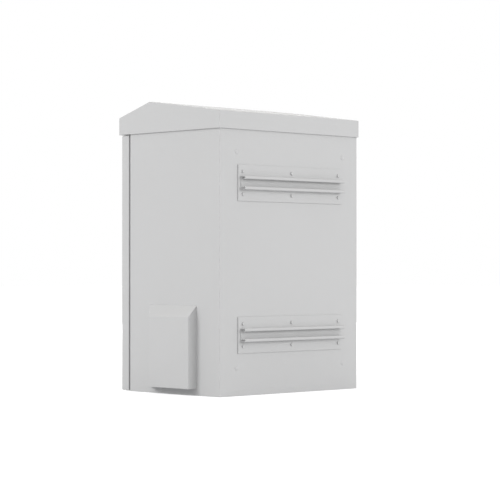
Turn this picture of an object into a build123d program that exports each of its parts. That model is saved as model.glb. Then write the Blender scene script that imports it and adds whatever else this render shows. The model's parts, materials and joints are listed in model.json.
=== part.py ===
# Roadside utility cabinet: a sheet steel equipment housing with a sloped rain roof, a side air hood,
# two strut brackets on its rear wall for a pole, and one door on its front.
# Origin: the middle of the underside of the base. +X is the right-hand side seen from the door,
# +Y points to the rear wall and +Z is up. All sizes are in millimetres.
import math
import os

from build123d import *

os.makedirs("parts", exist_ok=True)

# Driving dimensions of the housing
WIDTH = 609.6  # over the two side walls
DEPTH = 409.0  # from the front edge of the side walls to the rear face
HEIGHT = 835.0  # to the top of the inner top pan, hidden by the roof
SHEET = 2.0
BEND = 3.0  # outer radius of a folded corner
FLANGE = 22.0  # front flange of the side walls, and the same on the base
LIP = 25.0  # forward lip round the door opening, which the gasket meets
PAN_FLANGE = 25.0  # upturned edge of the base pan and downturned edge of the top pan
SEAT = 0.3  # gap between two pieces that seat on each other
SCREW_RADIUS = 2.5  # the sheet screws of the hood and the gland plate
SCREW_HEAD = 3.0
HOLE_PLAY = 0.25  # radial gap round a screw or bolt
THREAD_PLAY = 0.05  # radial gap between a thread and its nut
HEXAGON = 1.85  # corner radius of a hexagon over the radius of its thread
BOLT_HEAD = 5.3

# Driving dimensions of the roof
SKIRT_LAP = 28.0  # of the skirt, down over the top pan
SKIRT_HEIGHT = 53.4
ROOF_SIDE = 4.5  # overhang past the side and rear walls
ROOF_FRONT = 9.0  # overhang past the face of the door
RIDGE_FROM_REAR = 313.0
RIDGE_RISE = 43.8
ROOF_EDGE_RADIUS = 2.5
POST_RADIUS = 11.0
POST_SIDE = 54.8  # from the side walls to a roof post
POST_INSET = (34.5, 44.5)  # from the front edge and from the rear face
ROOF_BOLT_RADIUS = 4.0
ROOF_BOLT_GRIP = 14.0  # length of a roof bolt inside its post
VENT_SLOTS = 12
VENT_PITCH = 20.0
VENT_SLOT_WIDTH = 8.0
VENT_SLOT_LENGTH = 70.0
VENT_REAR = 104.5  # from the rear face to the middle of the slots

# Driving dimensions of the door
DOOR_GAP = 5.5  # seam between the side walls and the edge of the door
DOOR_DEPTH = 33.9  # return flange of the door
DOOR_BOTTOM = 2.4
DOOR_TOP_GAP = 2.5  # under the skirt of the roof
DOOR_RETURN = 12.0  # inward edge at the back of the door's flanges
LIP_INSET = 20.0  # from the top of the door down to the upper lip
GASKET = 12.0
STIFFENER_WIDTH = 60.0
STIFFENER_DEPTH = 22.0
STIFFENER_ENDS = (54.8, 36.8)  # from the left-hand and right-hand side walls
STIFFENER_Z = (210.0, 600.0)
STIFFENER_CROWN = 34.0
STIFFENER_SHEET = 1.5

# Driving dimensions of the hinges
HINGE_HEIGHT = 72.0
HINGE_LOW = 150.0
HINGE_TOP = 144.5  # from the top of the door down to the upper hinge
HINGE_OFFSET = 7.0  # from the side wall to the axis
KNUCKLE_RADIUS = 5.5
PIN_RADIUS = 3.0
PIN_PLAY = 0.08
LEAF = 2.5
LEAF_WIDTH = 26.0
KNUCKLE_GAP = 0.6
KNUCKLE_RELIEF = 0.8  # round the other leaf's knuckle
PIN_HEAD = 2.5

# Driving dimensions of the latch
SPINDLE_INSET = 79.8  # from the right-hand side wall
SPINDLE_Z = 403.5
SPINDLE_RADIUS = 6.0
CAM_THROW = 22.0  # from the spindle to each drive pin
CAM_THICKNESS = 4.0
CAM_REACH = 63.0
CAM_TONGUE = 18.0
DRIVE_PIN_RADIUS = 3.0
YOKE_PLAY = 1.0  # above and below a drive pin in its slot
YOKE_END = 6.0  # metal of the rod past its slot
YOKE_CORNER = 1.5
ROD_RAMP = (2.5, 9.0)  # bevel that leads a rod's tip behind its flange
ROD_WIDTH = 21.0
ROD_THICKNESS = 4.0
ROD_CLEARANCE = 1.0  # between a rod and the flange that it locks behind
ROD_GRIP = 16.0  # overlap of a locked rod with its flange
GUIDE_HEIGHT = 26.0
GUIDE_FOOT = 12.0

# Driving dimensions of the handle
ESCUTCHEON_THICKNESS = 4.0
HUB_RADIUS = 17.0
HUB_HEIGHT = 26.0
LEVER_LENGTH = 112.0
LEVER_WIDTH = 22.0
LEVER_THICKNESS = 11.0
LOCK_RADIUS = 8.0
LOCK_DEPTH = 14.0
KEYWAY = 1.7
LEVER_CRANK = 12.0
LEVER_END = 3.5
CAM_NUT = 6.0
ESCUTCHEON_HEIGHT = 90.0
ESCUTCHEON_WIDTH = 44.0
ESCUTCHEON_SCREW = 2.5
BEARING_LENGTH = 14.0
BEARING_RADIUS = 7.7
ESCUTCHEON_INSET = 8.0
ESCUTCHEON_EDGE = 1.2
ESCUTCHEON_SCREW_HEAD = 2.0

# Driving dimensions of the air hood and the fan behind it
HOOD_DEPTH = 34.5
HOOD_REAR = 102.0  # from the rear face to the rear side of the hood
HOOD_WIDTH = 213.0  # along the wall
HOOD_BOTTOM = 21.5
HOOD_TOP = 273.5
HOOD_FALL = 35.5  # fall of the sloped top
HOOD_SHEET = 1.5
HOOD_FOLD = 1.8  # outer radius of the hood's folds
HOOD_TAB = 16.0
HOOD_TAB_SHORT = 72.0  # by which a tab is shorter than the hood
HOOD_TAB_LIFT = 112.5  # from the hood's foot to the middle of its tabs
HOOD_SCREW_INSET = 15.0  # from a tab's ends
SCREEN_INSET = 3.0
SCREEN_SLOTS = 26
SCREEN_PITCH = 6.5
SCREEN_SLOT = 3.0
SCREEN_SHEET = 1.0
SCREEN_MARGIN = 4.0
FAN_Z = 150.0
FAN_SIZE = 119.0
FAN_DEPTH = 25.0
FAN_RIM = 3.0  # between the bore and the sides of the frame
FAN_SCREW_INSET = 7.0
FAN_BLADES = 7
FAN_HUB = 21.0
BLADE_PLAY = 1.5  # between a blade's tip and the bore
BLADE_ROOT = (FAN_HUB - 2, 20.0, 52.0)  # radius, chord and pitch angle where a blade leaves the hub
BLADE_END = (30.0, 28.0)  # chord and pitch angle at its tip
BLADE_THICKNESS = 2.2
BLADE_CAMBER = 0.08  # rise of a blade's middle over its chord
FAN_SHAFT = 2.5
FAN_CORNER = 7.0
SPOKE_DEPTH = 4.0
SPOKE_WIDTH = 5.0
ROTOR_GAP = 1.0
ROTOR_CROWN = 3.0
ROTOR_CHAMFER = 1.5
FAN_SCREW_RADIUS = 2.0
FAN_SCREW_HEAD = 2.6
FAN_SCREW_END = 3.0  # past the outer wall
GUARD_THICKNESS = 2.0
GUARD_WIRE = 2.2
GUARD_RINGS = 4
GUARD_PITCH = 13.0
GUARD_RIM = 3.5  # between the outermost ring and the bore
FILTER_OVER = 13.5  # of the filter's frame past the fan on each side
FILTER_DEPTH = 22.0
WINDOW_INSET = 11.5  # of the filter's window inside the fan's sides
WINDOW_CORNER = 8.0
FILTER_WALL = 2.5
FILTER_FACE = 3.0
MOULDED_CORNER = 6.0
PLEATS = 9
PAPER = 1.6  # along X, over the fold of the pleated paper

# Driving dimensions of the rear brackets
STRUT_LOW = 184.0
STRUT_TOP = 190.0  # from the top of the body down to the upper strut
PLATE_WIDTH = 462.0
PLATE_HEIGHT = 110.0
PLATE_THICKNESS = 3.5
STRUT_INSET = 10.0  # from the plate's ends
STRUT_HEIGHT = 41.3
STRUT_DEPTH = 20.6
STRUT_WALL = 2.5
STRUT_SLOT = 22.0
STRUT_LIP = 7.0
BRACKET_BOLT_INSET = 20.0  # from the plate's ends
BRACKET_BOLT_Z = 34.5
BRACKET_BOLT_RADIUS = 3.0
BRACKET_BOLT_HEAD = 4.0
BRACKET_NUT = 5.0
BOLT_END = 4.0  # thread past the nut
STRUT_BEND = 3.2
PLATE_CORNER = 2.0
PLUG_SIDE = 69.8  # from the side walls
PLUG_LOW = 84.0
PLUG_TOP = 97.0  # from the top of the body
PLUG_RADIUS = 7.5
PLUG_LEDGE = 2.0  # from the plug's rim to the wall's hole
PLUG_DOME = 2.4
PLUG_CURVE = 13.0

# Driving dimensions of the inside
RACK_UNIT = 44.45
RAIL_HOLE_X = 232.55
RAIL_WIDTH = 30.0
RAIL_SIDE = 32.0
RAIL_BOTTOM = 36.0
RAIL_SETBACK = 54.5  # from the front edge to the face of the rails
RAIL_HOLE = 9.5
RAIL_END = 10.0  # plain length past the first and the last unit
RAIL_HOLE_EDGE = 7.2  # from the rail's inner edge to the middle of its holes
BRACKET_HEIGHT = 40.0
BRACKET_LOW = 60.0
BRACKET_TOP = 145.0  # from the top of the body down to the upper brackets
PANEL_SIDE = 54.8  # from the side walls
PANEL_BOTTOM = 60.0
PANEL_GAP = 85.0  # from the top of the body
PANEL_STANDOFF = 20.0
RACK_STEPS = (6.35, 22.225, 38.1)  # three holes in each rack unit
RAIL_BOLT_RADIUS = 3.0
RAIL_BOLT_HEAD = 4.0
RAIL_NUT = 5.0
BRACKET_WEB = 14.0  # from the face of the rails back to the bracket's web
BRACKET_FOOT = 22.0
BRACKET_WALL_FOOT = 30.0
BRACKET_BOLT = 26.0  # from the face of the rails back to its bolts
STUD_RADIUS = 4.0
STUD_INSET = 30.0  # from the panel's edges
STUD_COLLAR = 7.0
STUD_NUT = 5.0
PANEL_EDGE = 12.0  # fold along each side of the panel
DIN_TOP = 235.0  # from the top of the body
DIN_LENGTH = 300.0
DIN_HEIGHT = 35.0
DIN_CROWN = 27.0
DIN_DEPTH = 7.5
DIN_WALL = 1.0
DIN_BEND = 1.2
DEVICE_HOOK = 1.8  # of a device's housing behind the rail's edges
BREAKER_X = -100.0
BREAKER_WIDTH = 35.0
BREAKER_HEIGHT = 82.0
BREAKER_NOSE = 45.0
BREAKER_SHOULDER = 44.0
BREAKER_DEPTH = 62.0
TOGGLE_WIDTH = 24.0
TOGGLE_DRUM = 9.0
TOGGLE_PADDLE = 9.0
TOGGLE_SINK = 4.0  # from the breaker's nose back to the toggle's axis
TOGGLE_BLADE = 4.0
WELL_RADIUS = 3.2
WELL_DEPTH = 6.0
TOGGLE_REST = 35.0  # below level when off, and as far above it when on
TERMINAL_X = 0.0
TERMINAL_WIDTH = 62.0
TERMINAL_POLES = 10
TERMINAL_HALF = 24.0
TERMINAL_DEPTH = 40.0
TERMINAL_SHOULDER = 26.0
TERMINAL_GROOVE = 1.2
THERMOSTAT_X = 90.0
THERMOSTAT_WIDTH = 33.0
THERMOSTAT_HEIGHT = 60.0
THERMOSTAT_DEPTH = 41.0
THERMOSTAT_CORNER = 2.0
DIAL_RADIUS = 13.0
DIAL_STEM = 3.0
DIAL_RISE = 8.0  # of the dial above the middle of the thermostat
DIAL_HEIGHT = 6.0
DIAL_STEM_LENGTH = 7.0
DIAL_FLUTES = 12
DIAL_MARK = 0.8
EARTH_Z = 110.0
EARTH_LENGTH = 200.0
EARTH_HEIGHT = 20.0
EARTH_THICKNESS = 5.0
EARTH_HOLES = 10
EARTH_SPACER = 14.0
EARTH_SCREW = 3.0
EARTH_INSET = 8.0
GLAND_WIDTH = 260.0
GLAND_LENGTH = 130.0
GLAND_REAR = 104.5  # from the rear face to the middle of the plate
GLAND_MARGIN = 18.0
GLAND_CORNER = 8.0
GROMMET_RADIUS = 20.0
GROMMET_X = (-78.0, 0.0, 78.0)
GROMMET_FLANGE = 4.0
GROMMET_DOME = 8.0
GROMMET_WALL = 2.0

# Places that follow from the driving dimensions
HALF_WIDTH = WIDTH / 2
REAR = DEPTH / 2
FRONT = -DEPTH / 2
INNER_HALF = HALF_WIDTH - SHEET
INNER_REAR = REAR - SHEET
SKIRT_BOTTOM = HEIGHT - SKIRT_LAP
POST_X = HALF_WIDTH - POST_SIDE
POST_Y = (FRONT + POST_INSET[0], REAR - POST_INSET[1])
VENT_Y = REAR - VENT_REAR
GLAND_Y = REAR - GLAND_REAR
DOOR_BACK = FRONT - DOOR_GAP
DOOR_FRONT = DOOR_BACK - DOOR_DEPTH
DOOR_SKIN = DOOR_FRONT + SHEET
DOOR_TOP = SKIRT_BOTTOM - DOOR_TOP_GAP
HEADER_BOTTOM = DOOR_TOP - LIP_INSET
LIP_FRONT = FRONT - LIP
STIFFENER_LEFT = -HALF_WIDTH + STIFFENER_ENDS[0]
STIFFENER_RIGHT = HALF_WIDTH - STIFFENER_ENDS[1]
HINGE_Z = (HINGE_LOW, DOOR_TOP - HINGE_TOP)
SPINDLE_X = HALF_WIDTH - SPINDLE_INSET
STRUT_Z = {"upper": HEIGHT - STRUT_TOP, "lower": STRUT_LOW}
STRUT_LENGTH = PLATE_WIDTH - 2 * STRUT_INSET
BRACKET_BOLT_X = PLATE_WIDTH / 2 - BRACKET_BOLT_INSET
PLUG_X = HALF_WIDTH - PLUG_SIDE
PLUG_Z = (PLUG_LOW, HEIGHT - PLUG_TOP)
STRUT_FACE = REAR + PLATE_THICKNESS + STRUT_DEPTH
HOOD_FACE = HALF_WIDTH + HOOD_DEPTH
HOOD_BACK_Y = REAR - HOOD_REAR
HOOD_FRONT_Y = HOOD_BACK_Y - HOOD_WIDTH
HOOD_TAB_Y = (HOOD_FRONT_Y + HOOD_SHEET + HOOD_TAB / 2, HOOD_BACK_Y - (HOOD_SHEET + HOOD_TAB) / 2)
HOOD_TAB_HEIGHT = HOOD_TOP - HOOD_BOTTOM - HOOD_TAB_SHORT
HOOD_TAB_Z = HOOD_BOTTOM + HOOD_TAB_LIFT
HOOD_SCREW_PITCH = HOOD_TAB_HEIGHT - 2 * HOOD_SCREW_INSET
FAN_Y = (HOOD_BACK_Y + HOOD_FRONT_Y) / 2
FAN_BORE = FAN_SIZE / 2 - FAN_RIM
FAN_PITCH = FAN_SIZE - 2 * FAN_SCREW_INSET
BLADE_TIP = FAN_BORE - BLADE_PLAY
FILTER_SIZE = FAN_SIZE + 2 * FILTER_OVER
FILTER_WINDOW = FAN_SIZE - 2 * WINDOW_INSET
FILTER_INNER = INNER_HALF - FILTER_DEPTH
FAN_INNER = FILTER_INNER - FAN_DEPTH
RAIL_UNITS = int((HEADER_BOTTOM - RAIL_BOTTOM - 2 * RAIL_END) / RACK_UNIT)
RAIL_FRONT_Y = FRONT + RAIL_SETBACK
BRACKET_Z = {"lower": BRACKET_LOW, "upper": HEIGHT - BRACKET_TOP}
BRACKET_WEB_Y = RAIL_FRONT_Y + BRACKET_WEB
BRACKET_BOLT_Y = RAIL_FRONT_Y + BRACKET_BOLT
PANEL_WIDTH = WIDTH - 2 * PANEL_SIDE
PANEL_TOP = HEIGHT - PANEL_GAP
PANEL_FRONT = INNER_REAR - PANEL_STANDOFF
DIN_Z = HEIGHT - DIN_TOP


def at_y(y):
    """Upright plane at y, seen from the front: local x is X, local y is Z, and it faces -Y."""
    return Plane.XZ.offset(-y)


def at_x(x):
    """Upright plane at x: local x is Y, local y is Z, and it faces +X."""
    return Plane.YZ.offset(x)


def save(builder, name):
    """Label a finished piece and write it."""
    builder.part.label = name
    export_step(builder.part, f"parts/{name}.step")


# The body: one sheet folded into the rear wall, the side walls and the flanges of the door opening
with BuildPart() as body_wrap:
    with BuildSketch():
        with BuildLine():
            FilletPolyline(
                (-HALF_WIDTH + FLANGE, LIP_FRONT),
                (-HALF_WIDTH + FLANGE, FRONT),
                (-HALF_WIDTH, FRONT),
                (-HALF_WIDTH, REAR),
                (HALF_WIDTH, REAR),
                (HALF_WIDTH, FRONT),
                (HALF_WIDTH - FLANGE, FRONT),
                (HALF_WIDTH - FLANGE, LIP_FRONT),
                radius=BEND,
            )
            offset(amount=SHEET, side=Side.RIGHT)
        make_face()
    extrude(amount=HEIGHT)
    # Above and below the opening the lips are cut away, so that they mitre with the pans' lips
    for low, high in ((0, FLANGE), (HEADER_BOTTOM, HEIGHT)):
        with BuildSketch(Plane.XY.offset(low)):
            with Locations((0, (LIP_FRONT + FRONT) / 2 - SEAT)):
                Rectangle(WIDTH, LIP, align=(Align.CENTER, Align.CENTER))
        extrude(amount=high - low, mode=Mode.SUBTRACT)
    # Window of the air hood, with the four holes of the fan's screws
    with BuildSketch(at_x(INNER_HALF)):
        with Locations((FAN_Y, FAN_Z)):
            RectangleRounded(FILTER_WINDOW, FILTER_WINDOW, WINDOW_CORNER)
            with GridLocations(FAN_PITCH, FAN_PITCH, 2, 2):
                Circle(FAN_SCREW_RADIUS + HOLE_PLAY)
        for tab_y in HOOD_TAB_Y:
            with Locations((tab_y, HOOD_TAB_Z)):
                with GridLocations(0, HOOD_SCREW_PITCH, 1, 2):
                    Circle(SCREW_RADIUS + HOLE_PLAY)
    extrude(amount=SHEET, mode=Mode.SUBTRACT)
    # Holes of the bracket bolts and of the four plugged wall fixings
    with BuildSketch(at_y(REAR)):
        for strut_z in STRUT_Z.values():
            with Locations((0, strut_z)):
                with GridLocations(BRACKET_BOLT_X, 2 * BRACKET_BOLT_Z, 3, 2):
                    Circle(BRACKET_BOLT_RADIUS + HOLE_PLAY)
        with Locations((0, sum(PLUG_Z) / 2)):
            with GridLocations(2 * PLUG_X, PLUG_Z[1] - PLUG_Z[0], 2, 2):
                Circle(PLUG_RADIUS - PLUG_LEDGE)
    extrude(amount=SHEET, mode=Mode.SUBTRACT)
save(body_wrap, "body_wrap")

# The base: a pan welded inside the wrap, with a window for the gland plate
with BuildPart() as base_pan:
    with BuildSketch(at_x(-HALF_WIDTH + FLANGE + SHEET)):
        with BuildLine():
            FilletPolyline(
                (INNER_REAR, PAN_FLANGE),
                (INNER_REAR, 0),
                (FRONT, 0),
                (FRONT, FLANGE),
                (LIP_FRONT, FLANGE),
                radius=BEND,
            )
            offset(amount=SHEET, side=Side.RIGHT)
        make_face()
    extrude(amount=WIDTH - 2 * (FLANGE + SHEET))
    for side in (-1, 1):
        with BuildSketch(at_y(INNER_REAR - BEND)):
            with BuildLine():
                FilletPolyline(
                    (side * (HALF_WIDTH - FLANGE - SHEET), 0),
                    (side * INNER_HALF, 0),
                    (side * INNER_HALF, PAN_FLANGE),
                    radius=BEND,
                )
                offset(amount=SHEET, side=Side.LEFT if side > 0 else Side.RIGHT)
            make_face()
        extrude(amount=INNER_REAR - FRONT - SHEET - 2 * BEND)
    with BuildSketch():
        with Locations((0, GLAND_Y)):
            RectangleRounded(GLAND_WIDTH, GLAND_LENGTH, GLAND_CORNER)
            with GridLocations(GLAND_WIDTH + GLAND_MARGIN, GLAND_LENGTH + GLAND_MARGIN, 2, 2):
                Circle(SCREW_RADIUS + HOLE_PLAY)
    extrude(amount=SHEET, mode=Mode.SUBTRACT)
save(base_pan, "base_pan")

# The gland plate closes the window from inside and carries rubber cable grommets
with BuildPart() as gland_plate:
    with BuildSketch(Plane.XY.offset(SHEET)):
        with Locations((0, GLAND_Y)):
            RectangleRounded(GLAND_WIDTH + 2 * GLAND_MARGIN, GLAND_LENGTH + 2 * GLAND_MARGIN, GLAND_CORNER)
            with GridLocations(GLAND_WIDTH + GLAND_MARGIN, GLAND_LENGTH + GLAND_MARGIN, 2, 2):
                Circle(SCREW_RADIUS + HOLE_PLAY, mode=Mode.SUBTRACT)
        with Locations(*[(x, GLAND_Y) for x in GROMMET_X]):
            Circle(GROMMET_RADIUS, mode=Mode.SUBTRACT)
    extrude(amount=SHEET)
save(gland_plate, "gland_plate")

GROMMET_LOW = 0.6 * SHEET - SEAT
with BuildPart() as cable_grommets:
    for x in GROMMET_X:
        with BuildSketch(at_y(GLAND_Y)):
            with BuildLine():
                Polyline(
                    (x, GROMMET_LOW),
                    (x + GROMMET_RADIUS + GROMMET_FLANGE, GROMMET_LOW),
                    (x + GROMMET_RADIUS + GROMMET_FLANGE, SHEET - SEAT / 3),
                    (x + GROMMET_RADIUS - SEAT, SHEET - SEAT / 3),
                    (x + GROMMET_RADIUS - SEAT, 2 * SHEET + SEAT),
                    (x + GROMMET_RADIUS + GROMMET_FLANGE, 2 * SHEET + SEAT),
                    (x + GROMMET_RADIUS + GROMMET_FLANGE / 2, 2 * SHEET + GROMMET_DOME / 2),
                    (x + GROMMET_RADIUS - GROMMET_FLANGE, 2 * SHEET + GROMMET_DOME),
                    (x + GROMMET_RADIUS - GROMMET_FLANGE - GROMMET_WALL, 2 * SHEET + GROMMET_DOME),
                    (x + GROMMET_RADIUS - GROMMET_FLANGE, SHEET),
                    (x, SHEET),
                    close=True,
                )
            make_face()
        revolve(axis=Axis((x, GLAND_Y, 0), (0, 0, 1)))
save(cable_grommets, "cable_grommets")

# The top of the body: a pan under the roof, with slots that let warm air out under the skirt
with BuildPart() as top_pan:
    with BuildSketch(at_x(-HALF_WIDTH + FLANGE + SHEET)):
        with BuildLine():
            FilletPolyline(
                (INNER_REAR, HEIGHT - PAN_FLANGE),
                (INNER_REAR, HEIGHT),
                (FRONT, HEIGHT),
                (FRONT, HEADER_BOTTOM),
                (LIP_FRONT, HEADER_BOTTOM),
                radius=BEND,
            )
            offset(amount=SHEET, side=Side.LEFT)
        make_face()
    extrude(amount=WIDTH - 2 * (FLANGE + SHEET))
    for side in (-1, 1):
        with BuildSketch(at_y(INNER_REAR - BEND)):
            with BuildLine():
                FilletPolyline(
                    (side * (HALF_WIDTH - FLANGE - SHEET), HEIGHT),
                    (side * INNER_HALF, HEIGHT),
                    (side * INNER_HALF, HEIGHT - PAN_FLANGE),
                    radius=BEND,
                )
                offset(amount=SHEET, side=Side.RIGHT if side > 0 else Side.LEFT)
            make_face()
        extrude(amount=INNER_REAR - FRONT - SHEET - 2 * BEND)
    with BuildSketch(Plane.XY.offset(HEIGHT - SHEET)):
        with Locations((0, VENT_Y)):
            with GridLocations(VENT_PITCH, 0, VENT_SLOTS, 1):
                Rectangle(VENT_SLOT_WIDTH, VENT_SLOT_LENGTH)
        with Locations((0, sum(POST_Y) / 2)):
            with GridLocations(2 * POST_X, POST_Y[1] - POST_Y[0], 2, 2):
                Circle(ROOF_BOLT_RADIUS + HOLE_PLAY)
    extrude(amount=SHEET, mode=Mode.SUBTRACT)
save(top_pan, "top_pan")

# The roof: a cap with a skirt all round, folded and welded, open underneath
SKIRT_TOP = SKIRT_BOTTOM + SKIRT_HEIGHT
RIDGE_Y = REAR - RIDGE_FROM_REAR
RIDGE_TOP = SKIRT_TOP + RIDGE_RISE
ROOF_REAR_Y = REAR + ROOF_SIDE
ROOF_FRONT_Y = DOOR_FRONT - ROOF_FRONT
with BuildPart() as roof_cap:
    with BuildSketch(at_x(-HALF_WIDTH - ROOF_SIDE)):
        with BuildLine():
            Polyline(
                (ROOF_REAR_Y, SKIRT_BOTTOM),
                (ROOF_REAR_Y, SKIRT_TOP),
                (RIDGE_Y, RIDGE_TOP),
                (ROOF_FRONT_Y, SKIRT_TOP),
                (ROOF_FRONT_Y, SKIRT_BOTTOM),
                close=True,
            )
        make_face()
    extrude(amount=WIDTH + 2 * ROOF_SIDE)
    roof_edges = roof_cap.edges().filter_by(lambda edge: edge.center().Z > SKIRT_BOTTOM + 1)
    fillet(roof_edges, radius=ROOF_EDGE_RADIUS)
    roof_underside = roof_cap.faces().sort_by(Axis.Z)[0]
    offset(amount=-SHEET, openings=roof_underside, kind=Kind.INTERSECTION)
save(roof_cap, "roof_cap")

# Four posts stand on the top pan and carry the roof, each cut to the slope above it
def roof_under(y):
    """Height of the inner face of the roof at y, along the front or the rear slope."""
    run = REAR + ROOF_SIDE - RIDGE_Y if y > RIDGE_Y else RIDGE_Y - ROOF_FRONT_Y
    slope = math.atan2(RIDGE_RISE, run)
    return RIDGE_TOP - abs(y - RIDGE_Y) * math.tan(slope) - SHEET / math.cos(slope)


with BuildPart() as roof_posts:
    for y in POST_Y:
        with BuildSketch(Plane.XY.offset(HEIGHT)):
            with GridLocations(2 * POST_X, 0, 2, 1):
                with Locations((0, y)):
                    Circle(POST_RADIUS)
        extrude(amount=roof_under(y) - HEIGHT + POST_RADIUS)
    with BuildSketch(at_x(-HALF_WIDTH)):
        with BuildLine():
            Polyline(
                (REAR, roof_under(REAR)),
                (RIDGE_Y, roof_under(RIDGE_Y)),
                (FRONT, roof_under(FRONT)),
                (FRONT, 2 * RIDGE_TOP),
                (REAR, 2 * RIDGE_TOP),
                close=True,
            )
        make_face()
    extrude(amount=WIDTH, mode=Mode.SUBTRACT)
    with BuildSketch(Plane.XY.offset(HEIGHT)):
        with Locations((0, sum(POST_Y) / 2)):
            with GridLocations(2 * POST_X, POST_Y[1] - POST_Y[0], 2, 2):
                Circle(ROOF_BOLT_RADIUS + HOLE_PLAY)
    extrude(amount=ROOF_BOLT_GRIP + 2, mode=Mode.SUBTRACT)
save(roof_posts, "roof_posts")

with BuildPart() as roof_bolts:
    with BuildSketch(Plane.XY.offset(HEIGHT - SHEET)):
        with Locations((0, sum(POST_Y) / 2)):
            with GridLocations(2 * POST_X, POST_Y[1] - POST_Y[0], 2, 2):
                RegularPolygon(ROOF_BOLT_RADIUS * HEXAGON, 6)
    extrude(amount=-BOLT_HEAD)
    with BuildSketch(Plane.XY.offset(HEIGHT - SHEET)):
        with Locations((0, sum(POST_Y) / 2)):
            with GridLocations(2 * POST_X, POST_Y[1] - POST_Y[0], 2, 2):
                Circle(ROOF_BOLT_RADIUS)
    extrude(amount=SHEET + ROOF_BOLT_GRIP)
save(roof_bolts, "roof_bolts")

# Two rear brackets: a backing plate, and on it a length of slotted strut that a pole clamp slides in
for level, strut_z in STRUT_Z.items():
    with BuildPart() as backing_plate:
        with BuildSketch(at_y(REAR + PLATE_THICKNESS)):
            with Locations((0, strut_z)):
                RectangleRounded(PLATE_WIDTH, PLATE_HEIGHT, PLATE_CORNER)
                with GridLocations(BRACKET_BOLT_X, 2 * BRACKET_BOLT_Z, 3, 2):
                    Circle(BRACKET_BOLT_RADIUS + HOLE_PLAY, mode=Mode.SUBTRACT)
        extrude(amount=PLATE_THICKNESS)
    save(backing_plate, f"{level}_backing_plate")

    with BuildPart() as strut_channel:
        with BuildSketch(at_x(-STRUT_LENGTH / 2)):
            with BuildLine():
                FilletPolyline(
                    (STRUT_FACE - STRUT_LIP, strut_z + STRUT_SLOT / 2),
                    (STRUT_FACE, strut_z + STRUT_SLOT / 2),
                    (STRUT_FACE, strut_z + STRUT_HEIGHT / 2),
                    (REAR + PLATE_THICKNESS, strut_z + STRUT_HEIGHT / 2),
                    (REAR + PLATE_THICKNESS, strut_z - STRUT_HEIGHT / 2),
                    (STRUT_FACE, strut_z - STRUT_HEIGHT / 2),
                    (STRUT_FACE, strut_z - STRUT_SLOT / 2),
                    (STRUT_FACE - STRUT_LIP, strut_z - STRUT_SLOT / 2),
                    radius=STRUT_BEND,
                )
                offset(amount=STRUT_WALL, side=Side.LEFT)
            make_face()
        extrude(amount=STRUT_LENGTH)
    save(strut_channel, f"{level}_strut_channel")

# The bolts that hold the brackets: hexagon heads outside and nuts inside
BOLT_HEX = BRACKET_BOLT_RADIUS * HEXAGON
with BuildPart() as bracket_bolts:
    for strut_z in STRUT_Z.values():
        with BuildSketch(at_y(REAR + PLATE_THICKNESS)):
            with Locations((0, strut_z)):
                with GridLocations(BRACKET_BOLT_X, 2 * BRACKET_BOLT_Z, 3, 2):
                    RegularPolygon(BOLT_HEX, 6)
        extrude(amount=-BRACKET_BOLT_HEAD)
        with BuildSketch(at_y(REAR + PLATE_THICKNESS)):
            with Locations((0, strut_z)):
                with GridLocations(BRACKET_BOLT_X, 2 * BRACKET_BOLT_Z, 3, 2):
                    Circle(BRACKET_BOLT_RADIUS)
        extrude(amount=PLATE_THICKNESS + SHEET + BRACKET_NUT + BOLT_END)
save(bracket_bolts, "bracket_bolts")

with BuildPart() as bracket_nuts:
    for strut_z in STRUT_Z.values():
        with BuildSketch(at_y(INNER_REAR)):
            with Locations((0, strut_z)):
                with GridLocations(BRACKET_BOLT_X, 2 * BRACKET_BOLT_Z, 3, 2):
                    RegularPolygon(BOLT_HEX, 6)
                    Circle(BRACKET_BOLT_RADIUS + THREAD_PLAY, mode=Mode.SUBTRACT)
        extrude(amount=BRACKET_NUT)
save(bracket_nuts, "bracket_nuts")

# Low domed plugs close the four wall fixing holes
with BuildPart() as wall_hole_plugs:
    for x in (-PLUG_X, PLUG_X):
        for z in PLUG_Z:
            with BuildSketch(Plane(origin=(x, REAR, z), x_dir=(1, 0, 0), z_dir=(0, 0, 1))):
                with BuildLine():
                    Line((0, -SHEET - PLUG_LEDGE), (0, PLUG_DOME))
                    RadiusArc((0, PLUG_DOME), (PLUG_RADIUS, 0), PLUG_CURVE)
                    Polyline(
                        (PLUG_RADIUS, 0),
                        (PLUG_RADIUS - PLUG_LEDGE - HOLE_PLAY, 0),
                        (PLUG_RADIUS - PLUG_LEDGE - HOLE_PLAY, -SHEET - PLUG_LEDGE),
                        (0, -SHEET - PLUG_LEDGE),
                    )
                make_face()
            revolve(axis=Axis((x, REAR, z), (0, 1, 0)))
save(wall_hole_plugs, "wall_hole_plugs")

# The air hood: folded sheet with a sloped top, a splayed front side, a square rear side and an open foot
def hood_wedge(wall):
    """The outer form of the hood, or with a wall's thickness the hollow inside it."""
    with BuildPart() as wedge:
        for depth in (0, HOOD_DEPTH - wall):
            rear = HOOD_BACK_Y - wall
            front = HOOD_FRONT_Y + depth + wall * math.sqrt(2)
            top = HOOD_TOP - HOOD_FALL * depth / HOOD_DEPTH - wall * math.hypot(1, HOOD_FALL / HOOD_DEPTH)
            bottom = HOOD_BOTTOM - wall
            with BuildSketch(at_x(HALF_WIDTH + depth)):
                with Locations(((rear + front) / 2, (top + bottom) / 2)):
                    Rectangle(rear - front, top - bottom)
        loft(ruled=True)
    return wedge.part


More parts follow.
